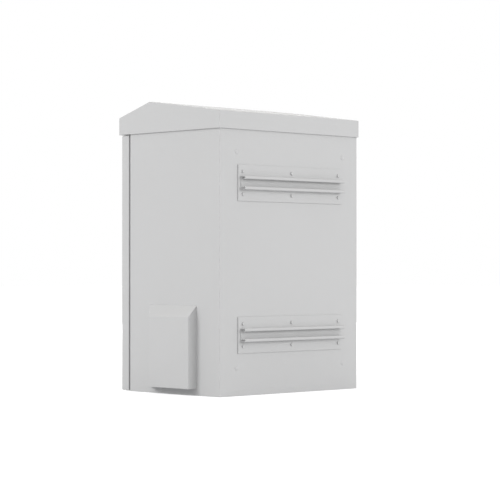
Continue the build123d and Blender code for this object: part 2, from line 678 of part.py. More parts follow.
with BuildPart() as vent_hood:
    add(hood_wedge(0))
    hood_folds = vent_hood.edges().filter_by(
        lambda edge: edge.center().X > HALF_WIDTH + 1 and edge.center().Z > HOOD_BOTTOM + 1
    )
    fillet(hood_folds, radius=HOOD_FOLD)
    add(hood_wedge(HOOD_SHEET), mode=Mode.SUBTRACT)
    # Tabs folded inwards lie on the wall and take the screws
    with BuildSketch(at_x(HALF_WIDTH)):
        for tab_y in HOOD_TAB_Y:
            with Locations((tab_y, HOOD_TAB_Z)):
                Rectangle(HOOD_TAB, HOOD_TAB_HEIGHT)
                with GridLocations(0, HOOD_SCREW_PITCH, 1, 2):
                    Circle(SCREW_RADIUS + HOLE_PLAY, mode=Mode.SUBTRACT)
    extrude(amount=HOOD_SHEET)
save(vent_hood, "vent_hood")

# Eight equal screws: four hold the hood and four the gland plate, all put in from inside
with BuildPart() as sheet_screws:
    with BuildSketch(at_x(INNER_HALF)):
        for tab_y in HOOD_TAB_Y:
            with Locations((tab_y, HOOD_TAB_Z)):
                with GridLocations(0, HOOD_SCREW_PITCH, 1, 2):
                    RegularPolygon(SCREW_RADIUS * HEXAGON, 6)
    extrude(amount=-SCREW_HEAD)
    with BuildSketch(at_x(INNER_HALF)):
        for tab_y in HOOD_TAB_Y:
            with Locations((tab_y, HOOD_TAB_Z)):
                with GridLocations(0, HOOD_SCREW_PITCH, 1, 2):
                    Circle(SCREW_RADIUS)
    extrude(amount=2 * SHEET)
    with BuildSketch(Plane.XY.offset(2 * SHEET)):
        with Locations((0, GLAND_Y)):
            with GridLocations(GLAND_WIDTH + GLAND_MARGIN, GLAND_LENGTH + GLAND_MARGIN, 2, 2):
                RegularPolygon(SCREW_RADIUS * HEXAGON, 6)
    extrude(amount=SCREW_HEAD)
    with BuildSketch(Plane.XY.offset(2 * SHEET)):
        with Locations((0, GLAND_Y)):
            with GridLocations(GLAND_WIDTH + GLAND_MARGIN, GLAND_LENGTH + GLAND_MARGIN, 2, 2):
                Circle(SCREW_RADIUS)
    extrude(amount=-2 * SHEET)
save(sheet_screws, "sheet_screws")

# A slotted screen across the foot of the hood keeps insects out
SCREEN_X = HALF_WIDTH + HOOD_SHEET + SEAT
SCREEN_DEPTH = HOOD_DEPTH - 2 * HOOD_SHEET - 2 * SEAT
SCREEN_FRONT = HOOD_FRONT_Y + 2 * HOOD_SHEET * math.sqrt(2)
SCREEN_REAR = HOOD_BACK_Y - HOOD_SHEET - SEAT
with BuildPart() as insect_screen:
    with BuildSketch(Plane.XY.offset(HOOD_BOTTOM + SCREEN_INSET)):
        with BuildLine():
            Polyline(
                (SCREEN_X, SCREEN_REAR),
                (SCREEN_X, SCREEN_FRONT + SEAT),
                (SCREEN_X + SCREEN_DEPTH, SCREEN_FRONT + SCREEN_DEPTH + SEAT),
                (SCREEN_X + SCREEN_DEPTH, SCREEN_REAR),
                close=True,
            )
        make_face()
        with Locations((SCREEN_X + SCREEN_DEPTH / 2, (SCREEN_REAR + SCREEN_FRONT + SCREEN_DEPTH) / 2)):
            with GridLocations(0, SCREEN_PITCH, 1, SCREEN_SLOTS):
                Rectangle(SCREEN_DEPTH - 2 * SCREEN_MARGIN, SCREEN_SLOT, mode=Mode.SUBTRACT)
    extrude(amount=SCREEN_SHEET)
save(insect_screen, "insect_screen")

# Behind the wall: the filter frame with its pleated paper, then the fan, all held by four long screws
with BuildPart() as filter_frame:
    with BuildSketch(at_x(FILTER_INNER)):
        with Locations((FAN_Y, FAN_Z)):
            RectangleRounded(FILTER_SIZE, FILTER_SIZE, MOULDED_CORNER)
            Rectangle(FILTER_WINDOW, FILTER_WINDOW, mode=Mode.SUBTRACT)
            with GridLocations(FAN_PITCH, FAN_PITCH, 2, 2):
                Circle(FAN_SCREW_RADIUS + HOLE_PLAY, mode=Mode.SUBTRACT)
    extrude(amount=FILTER_DEPTH)
    with BuildSketch(at_x(FILTER_INNER)):
        with Locations((FAN_Y, FAN_Z)):
            Rectangle(FILTER_SIZE - 2 * FILTER_WALL, FILTER_SIZE - 2 * FILTER_WALL)
            Rectangle(FAN_SIZE + 2 * FILTER_FACE, FAN_SIZE + 2 * FILTER_FACE, mode=Mode.SUBTRACT)
    extrude(amount=FILTER_DEPTH - FILTER_FACE, mode=Mode.SUBTRACT)
save(filter_frame, "filter_frame")

PLEAT_PITCH = (FILTER_WINDOW - 2 * SEAT) / PLEATS
PLEAT_START = FAN_Y - FILTER_WINDOW / 2 + SEAT
PLEAT_OUTER = INNER_HALF - FILTER_FACE
PLEAT_INNER = FILTER_INNER + FILTER_FACE
with BuildPart() as filter_pleats:
    with BuildSketch(Plane.XY.offset(FAN_Z - FILTER_WINDOW / 2 + SEAT)):
        with BuildLine():
            crests = []
            for pleat in range(PLEATS):
                crests.append((PLEAT_INNER, PLEAT_START + pleat * PLEAT_PITCH))
                crests.append((PLEAT_OUTER, PLEAT_START + (pleat + 0.5) * PLEAT_PITCH))
            crests.append((PLEAT_INNER, PLEAT_START + PLEATS * PLEAT_PITCH))
            back = [(x - PAPER, y) for x, y in reversed(crests)]
            Polyline(*crests, *back, close=True)
        make_face()
    extrude(amount=FILTER_WINDOW - 2 * SEAT)
save(filter_pleats, "filter_pleats")

# The fan's moulded frame: a square with a round bore, four spokes, the motor cup and the shaft
ROTOR_BACK = FAN_INNER + SPOKE_DEPTH + ROTOR_GAP
ROTOR_DEPTH = FAN_DEPTH - SPOKE_DEPTH - 3 * ROTOR_GAP
ROTOR_MIDDLE = ROTOR_BACK + ROTOR_DEPTH / 2
ROTOR_BORE = ROTOR_DEPTH - ROTOR_CROWN
with BuildPart() as fan_frame:
    with BuildSketch(at_x(FAN_INNER)):
        with Locations((FAN_Y, FAN_Z)):
            RectangleRounded(FAN_SIZE, FAN_SIZE, FAN_CORNER)
            Circle(FAN_BORE, mode=Mode.SUBTRACT)
            with GridLocations(FAN_PITCH, FAN_PITCH, 2, 2):
                Circle(FAN_SCREW_RADIUS + HOLE_PLAY, mode=Mode.SUBTRACT)
    extrude(amount=FAN_DEPTH)
    with BuildSketch(at_x(FAN_INNER)):
        with Locations((FAN_Y, FAN_Z)):
            Circle(FAN_HUB)
            with PolarLocations(FAN_BORE / 2, 4, start_angle=45):
                Rectangle(FAN_BORE + 2 * ROTOR_GAP, SPOKE_WIDTH)
    extrude(amount=SPOKE_DEPTH)
    with BuildSketch(at_x(FAN_INNER)):
        with Locations((FAN_Y, FAN_Z)):
            Circle(FAN_SHAFT)
    extrude(amount=ROTOR_BACK + ROTOR_BORE - ROTOR_GAP / 2 - FAN_INNER)
save(fan_frame, "fan_frame")

# The impeller: a cup with twisted and cambered blades, each lofted from a steep root to a flatter tip
with BuildPart() as fan_rotor:
    with BuildSketch(at_x(ROTOR_BACK)):
        with Locations((FAN_Y, FAN_Z)):
            Circle(FAN_HUB)
    extrude(amount=ROTOR_DEPTH)
    chamfer(fan_rotor.faces().sort_by(Axis.X)[-1].edges(), length=ROTOR_CHAMFER)
    for blade in range(FAN_BLADES):
        angle = 360 / FAN_BLADES * blade
        outward = Vector(0, math.cos(math.radians(angle)), math.sin(math.radians(angle)))
        for radius, chord, pitch in (BLADE_ROOT, (BLADE_TIP, *BLADE_END)):
            place = Vector(ROTOR_MIDDLE, FAN_Y, FAN_Z) + outward * radius
            rise = Vector(math.sin(math.radians(pitch)), 0, 0)
            along = rise + outward.cross(Vector(1, 0, 0)) * math.cos(math.radians(pitch))
            crown = BLADE_CAMBER * chord
            with BuildSketch(Plane(origin=place, x_dir=along, z_dir=outward)):
                with BuildLine():
                    ThreePointArc((-chord / 2, 0), (0, crown + BLADE_THICKNESS / 2), (chord / 2, 0))
                    ThreePointArc((chord / 2, 0), (0, crown - BLADE_THICKNESS / 2), (-chord / 2, 0))
                make_face()
        loft()
    with BuildSketch(at_x(ROTOR_BACK)):
        with Locations((FAN_Y, FAN_Z)):
            Circle(FAN_SHAFT + PIN_PLAY)
    extrude(amount=ROTOR_BORE, mode=Mode.SUBTRACT)
save(fan_rotor, "fan_rotor")

# The finger guard on the inside of the fan: stamped rings on four arms
with BuildPart() as fan_guard:
    with BuildSketch(at_x(FAN_INNER - GUARD_THICKNESS)):
        with Locations((FAN_Y, FAN_Z)):
            for ring in range(GUARD_RINGS):
                radius = FAN_BORE - GUARD_RIM - ring * GUARD_PITCH
                with BuildSketch(mode=Mode.PRIVATE) as guard_ring:
                    Circle(radius + GUARD_WIRE / 2)
                    Circle(radius - GUARD_WIRE / 2, mode=Mode.SUBTRACT)
                add(guard_ring.sketch)
            with PolarLocations(FAN_PITCH / math.sqrt(2) / 2, 4, start_angle=45):
                Rectangle(FAN_PITCH / math.sqrt(2), GUARD_WIRE)
            with GridLocations(FAN_PITCH, FAN_PITCH, 2, 2):
                Circle(2 * FAN_SCREW_RADIUS + GUARD_WIRE / 2)
                Circle(FAN_SCREW_RADIUS + HOLE_PLAY, mode=Mode.SUBTRACT)
    extrude(amount=GUARD_THICKNESS)
save(fan_guard, "fan_guard")

with BuildPart() as fan_screws:
    with BuildSketch(at_x(FAN_INNER - GUARD_THICKNESS)):
        with Locations((FAN_Y, FAN_Z)):
            with GridLocations(FAN_PITCH, FAN_PITCH, 2, 2):
                Circle(FAN_SCREW_RADIUS * 2)
    extrude(amount=-FAN_SCREW_HEAD)
    with BuildSketch(at_x(FAN_INNER - GUARD_THICKNESS)):
        with Locations((FAN_Y, FAN_Z)):
            with GridLocations(FAN_PITCH, FAN_PITCH, 2, 2):
                Circle(FAN_SCREW_RADIUS)
    extrude(amount=GUARD_THICKNESS + FAN_DEPTH + FILTER_DEPTH + SHEET + FAN_SCREW_END)
save(fan_screws, "fan_screws")

# The rack: two angle rails with square holes, each on two folded brackets from the side wall
RAIL_HEIGHT = RAIL_UNITS * RACK_UNIT + 2 * RAIL_END
RAIL_INNER = RAIL_HOLE_X - RAIL_HOLE_EDGE
RAIL_OUTER = RAIL_INNER + RAIL_WIDTH
for side, hand in ((-1, "left"), (1, "right")):
    with BuildPart() as rack_rail:
        with BuildSketch(Plane.XY.offset(RAIL_BOTTOM)):
            with BuildLine():
                FilletPolyline(
                    (side * RAIL_INNER, RAIL_FRONT_Y),
                    (side * RAIL_OUTER, RAIL_FRONT_Y),
                    (side * RAIL_OUTER, RAIL_FRONT_Y + RAIL_SIDE),
                    radius=BEND,
                )
                offset(amount=SHEET, side=Side.LEFT if side > 0 else Side.RIGHT)
            make_face()
        extrude(amount=RAIL_HEIGHT)
        with BuildSketch(at_y(RAIL_FRONT_Y)):
            for unit in range(RAIL_UNITS):
                for step in RACK_STEPS:
                    with Locations((side * RAIL_HOLE_X, RAIL_BOTTOM + RAIL_END + unit * RACK_UNIT + step)):
                        Rectangle(RAIL_HOLE, RAIL_HOLE)
        extrude(amount=-SHEET, mode=Mode.SUBTRACT)
        with BuildSketch(at_x(side * RAIL_OUTER)):
            for bracket_z in BRACKET_Z.values():
                with Locations((BRACKET_BOLT_Y, bracket_z + BRACKET_HEIGHT / 2)):
                    Circle(RAIL_BOLT_RADIUS + HOLE_PLAY)
        extrude(amount=-side * SHEET, mode=Mode.SUBTRACT)
    save(rack_rail, f"rack_rail_{hand}")

    for level, bracket_z in BRACKET_Z.items():
        with BuildPart() as rail_bracket:
            with BuildSketch(Plane.XY.offset(bracket_z)):
                with BuildLine():
                    FilletPolyline(
                        (side * INNER_HALF, BRACKET_WEB_Y + BRACKET_WALL_FOOT),
                        (side * INNER_HALF, BRACKET_WEB_Y),
                        (side * RAIL_OUTER, BRACKET_WEB_Y),
                        (side * RAIL_OUTER, BRACKET_WEB_Y + BRACKET_FOOT),
                        radius=BEND,
                    )
                    offset(amount=SHEET, side=Side.RIGHT if side > 0 else Side.LEFT)
                make_face()
            extrude(amount=BRACKET_HEIGHT)
            with BuildSketch(at_x(side * RAIL_OUTER)):
                with Locations((BRACKET_BOLT_Y, bracket_z + BRACKET_HEIGHT / 2)):
                    Circle(RAIL_BOLT_RADIUS + HOLE_PLAY)
            extrude(amount=side * SHEET, mode=Mode.SUBTRACT)
        save(rail_bracket, f"rail_bracket_{level}_{hand}")

with BuildPart() as rail_bolts:
    for side in (-1, 1):
        for bracket_z in BRACKET_Z.values():
            centre = (BRACKET_BOLT_Y, bracket_z + BRACKET_HEIGHT / 2)
            with BuildSketch(at_x(side * (RAIL_OUTER - SHEET))):
                with Locations(centre):
                    RegularPolygon(RAIL_BOLT_RADIUS * HEXAGON, 6)
            extrude(amount=-side * RAIL_BOLT_HEAD)
            with BuildSketch(at_x(side * (RAIL_OUTER - SHEET))):
                with Locations(centre):
                    Circle(RAIL_BOLT_RADIUS)
            extrude(amount=side * (2 * SHEET + RAIL_NUT))
            with BuildSketch(at_x(side * (RAIL_OUTER + SHEET))):
                with Locations(centre):
                    RegularPolygon(RAIL_BOLT_RADIUS * HEXAGON, 6)
            extrude(amount=side * RAIL_NUT)
save(rail_bolts, "rail_bolts")

# The mounting panel stands off the rear wall on four spacers with nuts
STUD_X = PANEL_WIDTH / 2 - STUD_INSET
STUD_Z = (PANEL_BOTTOM + STUD_INSET, PANEL_TOP - STUD_INSET)
with BuildPart() as mounting_panel:
    with BuildSketch(Plane.XY.offset(PANEL_BOTTOM)):
        with BuildLine():
            FilletPolyline(
                (-PANEL_WIDTH / 2, PANEL_FRONT + PANEL_EDGE),
                (-PANEL_WIDTH / 2, PANEL_FRONT),
                (PANEL_WIDTH / 2, PANEL_FRONT),
                (PANEL_WIDTH / 2, PANEL_FRONT + PANEL_EDGE),
                radius=BEND,
            )
            offset(amount=SHEET, side=Side.LEFT)
        make_face()
    extrude(amount=PANEL_TOP - PANEL_BOTTOM)
    with BuildSketch(at_y(PANEL_FRONT)):
        with Locations((0, sum(STUD_Z) / 2)):
            with GridLocations(2 * STUD_X, STUD_Z[1] - STUD_Z[0], 2, 2):
                Circle(STUD_RADIUS + HOLE_PLAY)
    extrude(amount=-SHEET, mode=Mode.SUBTRACT)
save(mounting_panel, "mounting_panel")

# A welded stud has a collar that the panel rests on
with BuildPart() as panel_studs:
    with BuildSketch(at_y(INNER_REAR)):
        with Locations((0, sum(STUD_Z) / 2)):
            with GridLocations(2 * STUD_X, STUD_Z[1] - STUD_Z[0], 2, 2):
                Circle(STUD_COLLAR)
    extrude(amount=PANEL_STANDOFF - SHEET)
    with BuildSketch(at_y(INNER_REAR)):
        with Locations((0, sum(STUD_Z) / 2)):
            with GridLocations(2 * STUD_X, STUD_Z[1] - STUD_Z[0], 2, 2):
                Circle(STUD_RADIUS)
    extrude(amount=PANEL_STANDOFF + 2 * STUD_NUT)
save(panel_studs, "panel_studs")

with BuildPart() as panel_nuts:
    with BuildSketch(at_y(PANEL_FRONT)):
        with Locations((0, sum(STUD_Z) / 2)):
            with GridLocations(2 * STUD_X, STUD_Z[1] - STUD_Z[0], 2, 2):
                RegularPolygon(STUD_RADIUS * HEXAGON, 6)
                Circle(STUD_RADIUS + THREAD_PLAY, mode=Mode.SUBTRACT)
    extrude(amount=STUD_NUT)
save(panel_nuts, "panel_nuts")

# A top hat rail on the panel carries the breaker, the terminals and the thermostat
DIN_FACE = PANEL_FRONT - DIN_DEPTH
with BuildPart() as din_rail:
    with BuildSketch(at_x(-DIN_LENGTH / 2)):
        with BuildLine():
            FilletPolyline(
                (DIN_FACE + DIN_WALL, DIN_Z - DIN_HEIGHT / 2),
                (DIN_FACE + DIN_WALL, DIN_Z - DIN_CROWN / 2),
                (PANEL_FRONT, DIN_Z - DIN_CROWN / 2),
                (PANEL_FRONT, DIN_Z + DIN_CROWN / 2),
                (DIN_FACE + DIN_WALL, DIN_Z + DIN_CROWN / 2),
                (DIN_FACE + DIN_WALL, DIN_Z + DIN_HEIGHT / 2),
                radius=DIN_BEND,
            )
            offset(amount=DIN_WALL, side=Side.LEFT)
        make_face()
    extrude(amount=DIN_LENGTH)
save(din_rail, "din_rail")


def din_recess(width):
    """The slot in a device's back that holds the two edges of the rail, with its clearance."""
    with BuildPart() as recess:
        with BuildSketch(at_y(DIN_FACE - SEAT)):
            Rectangle(width + 2, DIN_HEIGHT + 2 * SEAT)
        extrude(amount=-(DIN_WALL + 3 * SEAT))
        with BuildSketch(at_y(DIN_FACE - SEAT)):
            Rectangle(width + 2, DIN_HEIGHT - 2 * DEVICE_HOOK - 2 * DIN_BEND)
        extrude(amount=-DIN_HEIGHT)
    return recess.part


DEVICE_BACK = DIN_FACE + DIN_WALL + 2 * SEAT + DEVICE_HOOK
TOGGLE_AXIS_Y = DEVICE_BACK - BREAKER_DEPTH + TOGGLE_SINK
with BuildPart() as circuit_breaker:
    with BuildSketch(at_x(BREAKER_X - BREAKER_WIDTH / 2)):
        with BuildLine():
            Polyline(
                (DEVICE_BACK, DIN_Z - BREAKER_HEIGHT / 2),
                (DEVICE_BACK, DIN_Z + BREAKER_HEIGHT / 2),
                (DEVICE_BACK - BREAKER_SHOULDER, DIN_Z + BREAKER_HEIGHT / 2),
                (DEVICE_BACK - BREAKER_SHOULDER, DIN_Z + BREAKER_NOSE / 2),
                (DEVICE_BACK - BREAKER_DEPTH, DIN_Z + BREAKER_NOSE / 2),
                (DEVICE_BACK - BREAKER_DEPTH, DIN_Z - BREAKER_NOSE / 2),
                (DEVICE_BACK - BREAKER_SHOULDER, DIN_Z - BREAKER_NOSE / 2),
                (DEVICE_BACK - BREAKER_SHOULDER, DIN_Z - BREAKER_HEIGHT / 2),
                close=True,
            )
        make_face()
    extrude(amount=BREAKER_WIDTH)
    add(din_recess(BREAKER_WIDTH).moved(Location((BREAKER_X, 0, DIN_Z))), mode=Mode.SUBTRACT)
    with BuildSketch(at_x(BREAKER_X - TOGGLE_WIDTH / 2 - SEAT)):
        with Locations((TOGGLE_AXIS_Y, DIN_Z)):
            Circle(TOGGLE_DRUM + SEAT)
    extrude(amount=TOGGLE_WIDTH + 2 * SEAT, mode=Mode.SUBTRACT)
    # Terminal screws sit in round wells at the top and the bottom
    with BuildSketch(at_y(DEVICE_BACK - BREAKER_SHOULDER)):
        for x in (BREAKER_X - BREAKER_WIDTH / 4, BREAKER_X + BREAKER_WIDTH / 4):
            with Locations((x, DIN_Z)):
                with GridLocations(0, (BREAKER_HEIGHT + BREAKER_NOSE) / 2, 1, 2):
                    Circle(WELL_RADIUS)
    extrude(amount=-WELL_DEPTH, mode=Mode.SUBTRACT)
save(circuit_breaker, "circuit_breaker")

# The toggle: a drum that turns in the breaker's nose, with a paddle
with BuildPart() as breaker_toggle:
    with BuildSketch(at_x(BREAKER_X - TOGGLE_WIDTH / 2)):
        with Locations((TOGGLE_AXIS_Y, DIN_Z)):
            Circle(TOGGLE_DRUM)
        with Locations(Location((TOGGLE_AXIS_Y, DIN_Z), 180 + TOGGLE_REST)):
            with Locations((TOGGLE_DRUM + TOGGLE_PADDLE / 2 - TOGGLE_BLADE / 2, 0)):
                Rectangle(TOGGLE_PADDLE + TOGGLE_BLADE / 2, TOGGLE_BLADE)
    extrude(amount=TOGGLE_WIDTH)
save(breaker_toggle, "breaker_toggle")

with BuildPart() as terminal_block:
    with BuildSketch(at_x(TERMINAL_X - TERMINAL_WIDTH / 2)):
        with BuildLine():
            Polyline(
                (DEVICE_BACK, DIN_Z - TERMINAL_HALF),
                (DEVICE_BACK, DIN_Z + TERMINAL_HALF),
                (DEVICE_BACK - TERMINAL_SHOULDER, DIN_Z + TERMINAL_HALF),
                (DEVICE_BACK - TERMINAL_DEPTH, DIN_Z + TERMINAL_HALF / 2),
                (DEVICE_BACK - TERMINAL_DEPTH, DIN_Z - TERMINAL_HALF / 2),
                (DEVICE_BACK - TERMINAL_SHOULDER, DIN_Z - TERMINAL_HALF),
                close=True,
            )
        make_face()
    extrude(amount=TERMINAL_WIDTH)
    add(din_recess(TERMINAL_WIDTH).moved(Location((TERMINAL_X, 0, DIN_Z))), mode=Mode.SUBTRACT)
    for pole in range(1, TERMINAL_POLES):
        groove_x = TERMINAL_X - TERMINAL_WIDTH / 2 + pole * TERMINAL_WIDTH / TERMINAL_POLES
        with BuildSketch(at_x(groove_x - TERMINAL_GROOVE / 2)):
            with Locations((DEVICE_BACK - TERMINAL_DEPTH, DIN_Z)):
                Rectangle(2 * (TERMINAL_DEPTH - TERMINAL_SHOULDER), 3 * TERMINAL_HALF)
        extrude(amount=TERMINAL_GROOVE, mode=Mode.SUBTRACT)
save(terminal_block, "terminal_block")

# The thermostat that starts the fan, with a dial on its face
DIAL_FACE = DEVICE_BACK - THERMOSTAT_DEPTH
DIAL_Z = DIN_Z + DIAL_RISE
with BuildPart() as thermostat:
    with BuildSketch(at_y(DEVICE_BACK)):
        with Locations((THERMOSTAT_X, DIN_Z)):
            RectangleRounded(THERMOSTAT_WIDTH, THERMOSTAT_HEIGHT, THERMOSTAT_CORNER)
    extrude(amount=THERMOSTAT_DEPTH)
    add(din_recess(THERMOSTAT_WIDTH).moved(Location((THERMOSTAT_X, 0, DIN_Z))), mode=Mode.SUBTRACT)
    with BuildSketch(at_y(DIAL_FACE)):
        with Locations((THERMOSTAT_X, DIAL_Z)):
            Circle(DIAL_STEM + PIN_PLAY)
    extrude(amount=-(DIAL_STEM_LENGTH + 1), mode=Mode.SUBTRACT)
save(thermostat, "thermostat")

with BuildPart() as thermostat_dial:
    with BuildSketch(at_y(DIAL_FACE - SEAT)):
        with Locations((THERMOSTAT_X, DIAL_Z)):
            Circle(DIAL_RADIUS)
            with PolarLocations(DIAL_RADIUS, DIAL_FLUTES):
                Circle(1, mode=Mode.SUBTRACT)
    extrude(amount=DIAL_HEIGHT)
    with BuildSketch(at_y(DIAL_FACE - SEAT)):
        with Locations((THERMOSTAT_X, DIAL_Z)):
            Circle(DIAL_STEM)
    extrude(amount=-DIAL_STEM_LENGTH)
    with BuildSketch(at_y(DIAL_FACE - SEAT - DIAL_HEIGHT)):
        with Locations((THERMOSTAT_X, DIAL_Z + DIAL_RADIUS / 2)):
            Rectangle(2 * DIAL_MARK, 0.7 * DIAL_RADIUS)
    extrude(amount=-DIAL_MARK, mode=Mode.SUBTRACT)
save(thermostat_dial, "thermostat_dial")

# The earth bar on two spacers, low on the panel
with BuildPart() as earth_bar:
    with BuildSketch(at_y(PANEL_FRONT - EARTH_SPACER)):
        with Locations((0, EARTH_Z)):
            Rectangle(EARTH_LENGTH, EARTH_HEIGHT)
            with GridLocations(EARTH_LENGTH / (EARTH_HOLES + 1), 0, EARTH_HOLES, 1):
                Circle(EARTH_SCREW, mode=Mode.SUBTRACT)
            with GridLocations(EARTH_LENGTH - 2 * EARTH_INSET, 0, 2, 1):
                Circle(EARTH_SCREW + HOLE_PLAY, mode=Mode.SUBTRACT)
    extrude(amount=EARTH_THICKNESS)
save(earth_bar, "earth_bar")

with BuildPart() as earth_bar_spacers:
    with BuildSketch(at_y(PANEL_FRONT)):
        with Locations((0, EARTH_Z)):
            with GridLocations(EARTH_LENGTH - 2 * EARTH_INSET, 0, 2, 1):
                RegularPolygon(2.3 * EARTH_SCREW, 6)
    extrude(amount=EARTH_SPACER)
    with BuildSketch(at_y(PANEL_FRONT)):
        with Locations((0, EARTH_Z)):
            with GridLocations(EARTH_LENGTH - 2 * EARTH_INSET, 0, 2, 1):
                Circle(EARTH_SCREW)
    extrude(amount=EARTH_SPACER + EARTH_THICKNESS + EARTH_SCREW)
save(earth_bar_spacers, "earth_bar_spacers")

# The hinges: on each, two knuckles belong to the body's leaf and one to the door's leaf
KNUCKLE_HEIGHT = (HINGE_HEIGHT - 2 * KNUCKLE_GAP) / 3
HINGE_X = -HALF_WIDTH - HINGE_OFFSET
HINGE_Y = (FRONT + DOOR_BACK) / 2
CUTBACK = KNUCKLE_RADIUS + KNUCKLE_RELIEF
for number, hinge_z in enumerate(HINGE_Z):
    level = ("lower", "upper")[number]
    for leaf_name, own, away in (("hinge_body_leaf", (0, 2), 1), ("hinge_door_leaf", (1,), -1)):
        with BuildPart() as leaf:
            with BuildSketch(Plane.XY.offset(hinge_z)):
                with Locations((-HALF_WIDTH - LEAF / 2, HINGE_Y + away * LEAF_WIDTH / 2)):
                    Rectangle(LEAF, LEAF_WIDTH)
            extrude(amount=HINGE_HEIGHT)
            for knuckle in range(3):
                low = hinge_z + knuckle * (KNUCKLE_HEIGHT + KNUCKLE_GAP)
                if knuckle in own:
                    with BuildSketch(Plane.XY.offset(low)):
                        with Locations((HINGE_X, HINGE_Y)):
                            Circle(KNUCKLE_RADIUS)
                    extrude(amount=KNUCKLE_HEIGHT)
                else:
                    with BuildSketch(Plane.XY.offset(low - KNUCKLE_GAP)):
                        with Locations((HINGE_X, HINGE_Y)):
                            Circle(CUTBACK)
                        with Locations((HINGE_X + CUTBACK / 2, HINGE_Y)):
                            Rectangle(CUTBACK + LEAF + SHEET, 2 * CUTBACK)
                    extrude(amount=KNUCKLE_HEIGHT + 2 * KNUCKLE_GAP, mode=Mode.SUBTRACT)
            with BuildSketch(Plane.XY.offset(hinge_z)):
                with Locations((HINGE_X, HINGE_Y)):
                    Circle(PIN_RADIUS + PIN_PLAY)
            extrude(amount=HINGE_HEIGHT, mode=Mode.SUBTRACT)
        save(leaf, f"{leaf_name}_{level}")

with BuildPart() as hinge_pins:
    for hinge_z in HINGE_Z:
        with BuildSketch(Plane.XY.offset(hinge_z - 1)):
            with Locations((HINGE_X, HINGE_Y)):
                Circle(PIN_RADIUS)
        extrude(amount=HINGE_HEIGHT + 1)
        with BuildSketch(Plane.XY.offset(hinge_z + HINGE_HEIGHT)):
            with Locations((HINGE_X, HINGE_Y)):
                Circle(KNUCKLE_RADIUS)
        extrude(amount=PIN_HEAD)
save(hinge_pins, "hinge_pins")

# The door: a pan with return flanges, whose back edges fold inwards
DOOR_HEIGHT = DOOR_TOP - DOOR_BOTTOM
DOOR_MIDDLE = (DOOR_TOP + DOOR_BOTTOM) / 2
with BuildPart() as door_pan:
    with BuildSketch(at_y(DOOR_BACK)):
        with Locations((0, DOOR_MIDDLE)):
            Rectangle(WIDTH, DOOR_HEIGHT)
    extrude(amount=DOOR_DEPTH)
    door_folds = door_pan.edges().filter_by(lambda edge: edge.center().Y < DOOR_BACK - 1)
    fillet(door_folds, radius=BEND)
    with BuildSketch(at_y(DOOR_BACK - SHEET)):
        with Locations((0, DOOR_MIDDLE)):
            RectangleRounded(WIDTH - 2 * SHEET, DOOR_HEIGHT - 2 * SHEET, BEND - SHEET)
    extrude(amount=DOOR_DEPTH - 2 * SHEET, mode=Mode.SUBTRACT)
    with BuildSketch(at_y(DOOR_BACK)):
        with Locations((0, DOOR_MIDDLE)):
            Rectangle(WIDTH - 2 * DOOR_RETURN, DOOR_HEIGHT - 2 * DOOR_RETURN)
    extrude(amount=SHEET, mode=Mode.SUBTRACT)
    with BuildSketch(at_y(DOOR_FRONT)):
        with Locations((SPINDLE_X, SPINDLE_Z)):
            Circle(BEARING_RADIUS + SEAT)
            with GridLocations(0, ESCUTCHEON_HEIGHT - 2 * ESCUTCHEON_INSET, 1, 2):
                Circle(ESCUTCHEON_SCREW + HOLE_PLAY)
    extrude(amount=-SHEET, mode=Mode.SUBTRACT)
save(door_pan, "door_pan")

# The gasket: a rubber frame on the door that meets the lips of the opening
GASKET_X = HALF_WIDTH - FLANGE - SHEET / 2
GASKET_LOW = FLANGE + SHEET / 2
GASKET_HIGH = HEADER_BOTTOM - SHEET / 2
GASKET_TALL = GASKET_HIGH - GASKET_LOW
with BuildPart() as door_gasket:
    with BuildSketch(at_y(DOOR_SKIN)):
        with Locations((0, (GASKET_LOW + GASKET_HIGH) / 2)):
            RectangleRounded(2 * GASKET_X + GASKET, GASKET_TALL + GASKET, GASKET / 2)
            RectangleRounded(2 * GASKET_X - GASKET, GASKET_TALL - GASKET, GASKET / 4, mode=Mode.SUBTRACT)
    extrude(amount=-(LIP_FRONT - DOOR_SKIN - SEAT))
    chamfer(door_gasket.faces().sort_by(Axis.Y)[-1].edges(), length=GASKET / 6)
save(door_gasket, "door_gasket")

# Hat section stiffeners across the inside of the door
STIFFENER_BACK = DOOR_SKIN + STIFFENER_DEPTH
for number, stiffener_z in enumerate(STIFFENER_Z):
    level = ("lower", "upper")[number]
    with BuildPart() as stiffener:
        with BuildSketch(at_x(STIFFENER_LEFT)):
            with BuildLine():
                FilletPolyline(
                    (DOOR_SKIN, stiffener_z - STIFFENER_WIDTH / 2),
                    (DOOR_SKIN, stiffener_z - STIFFENER_CROWN / 2),
                    (STIFFENER_BACK - STIFFENER_SHEET, stiffener_z - STIFFENER_CROWN / 2),
                    (STIFFENER_BACK - STIFFENER_SHEET, stiffener_z + STIFFENER_CROWN / 2),
                    (DOOR_SKIN, stiffener_z + STIFFENER_CROWN / 2),
                    (DOOR_SKIN, stiffener_z + STIFFENER_WIDTH / 2),
                    radius=BEND,
                )
                offset(amount=STIFFENER_SHEET, side=Side.RIGHT)
            make_face()
        extrude(amount=STIFFENER_RIGHT - STIFFENER_LEFT)
    save(stiffener, f"door_stiffener_{level}")

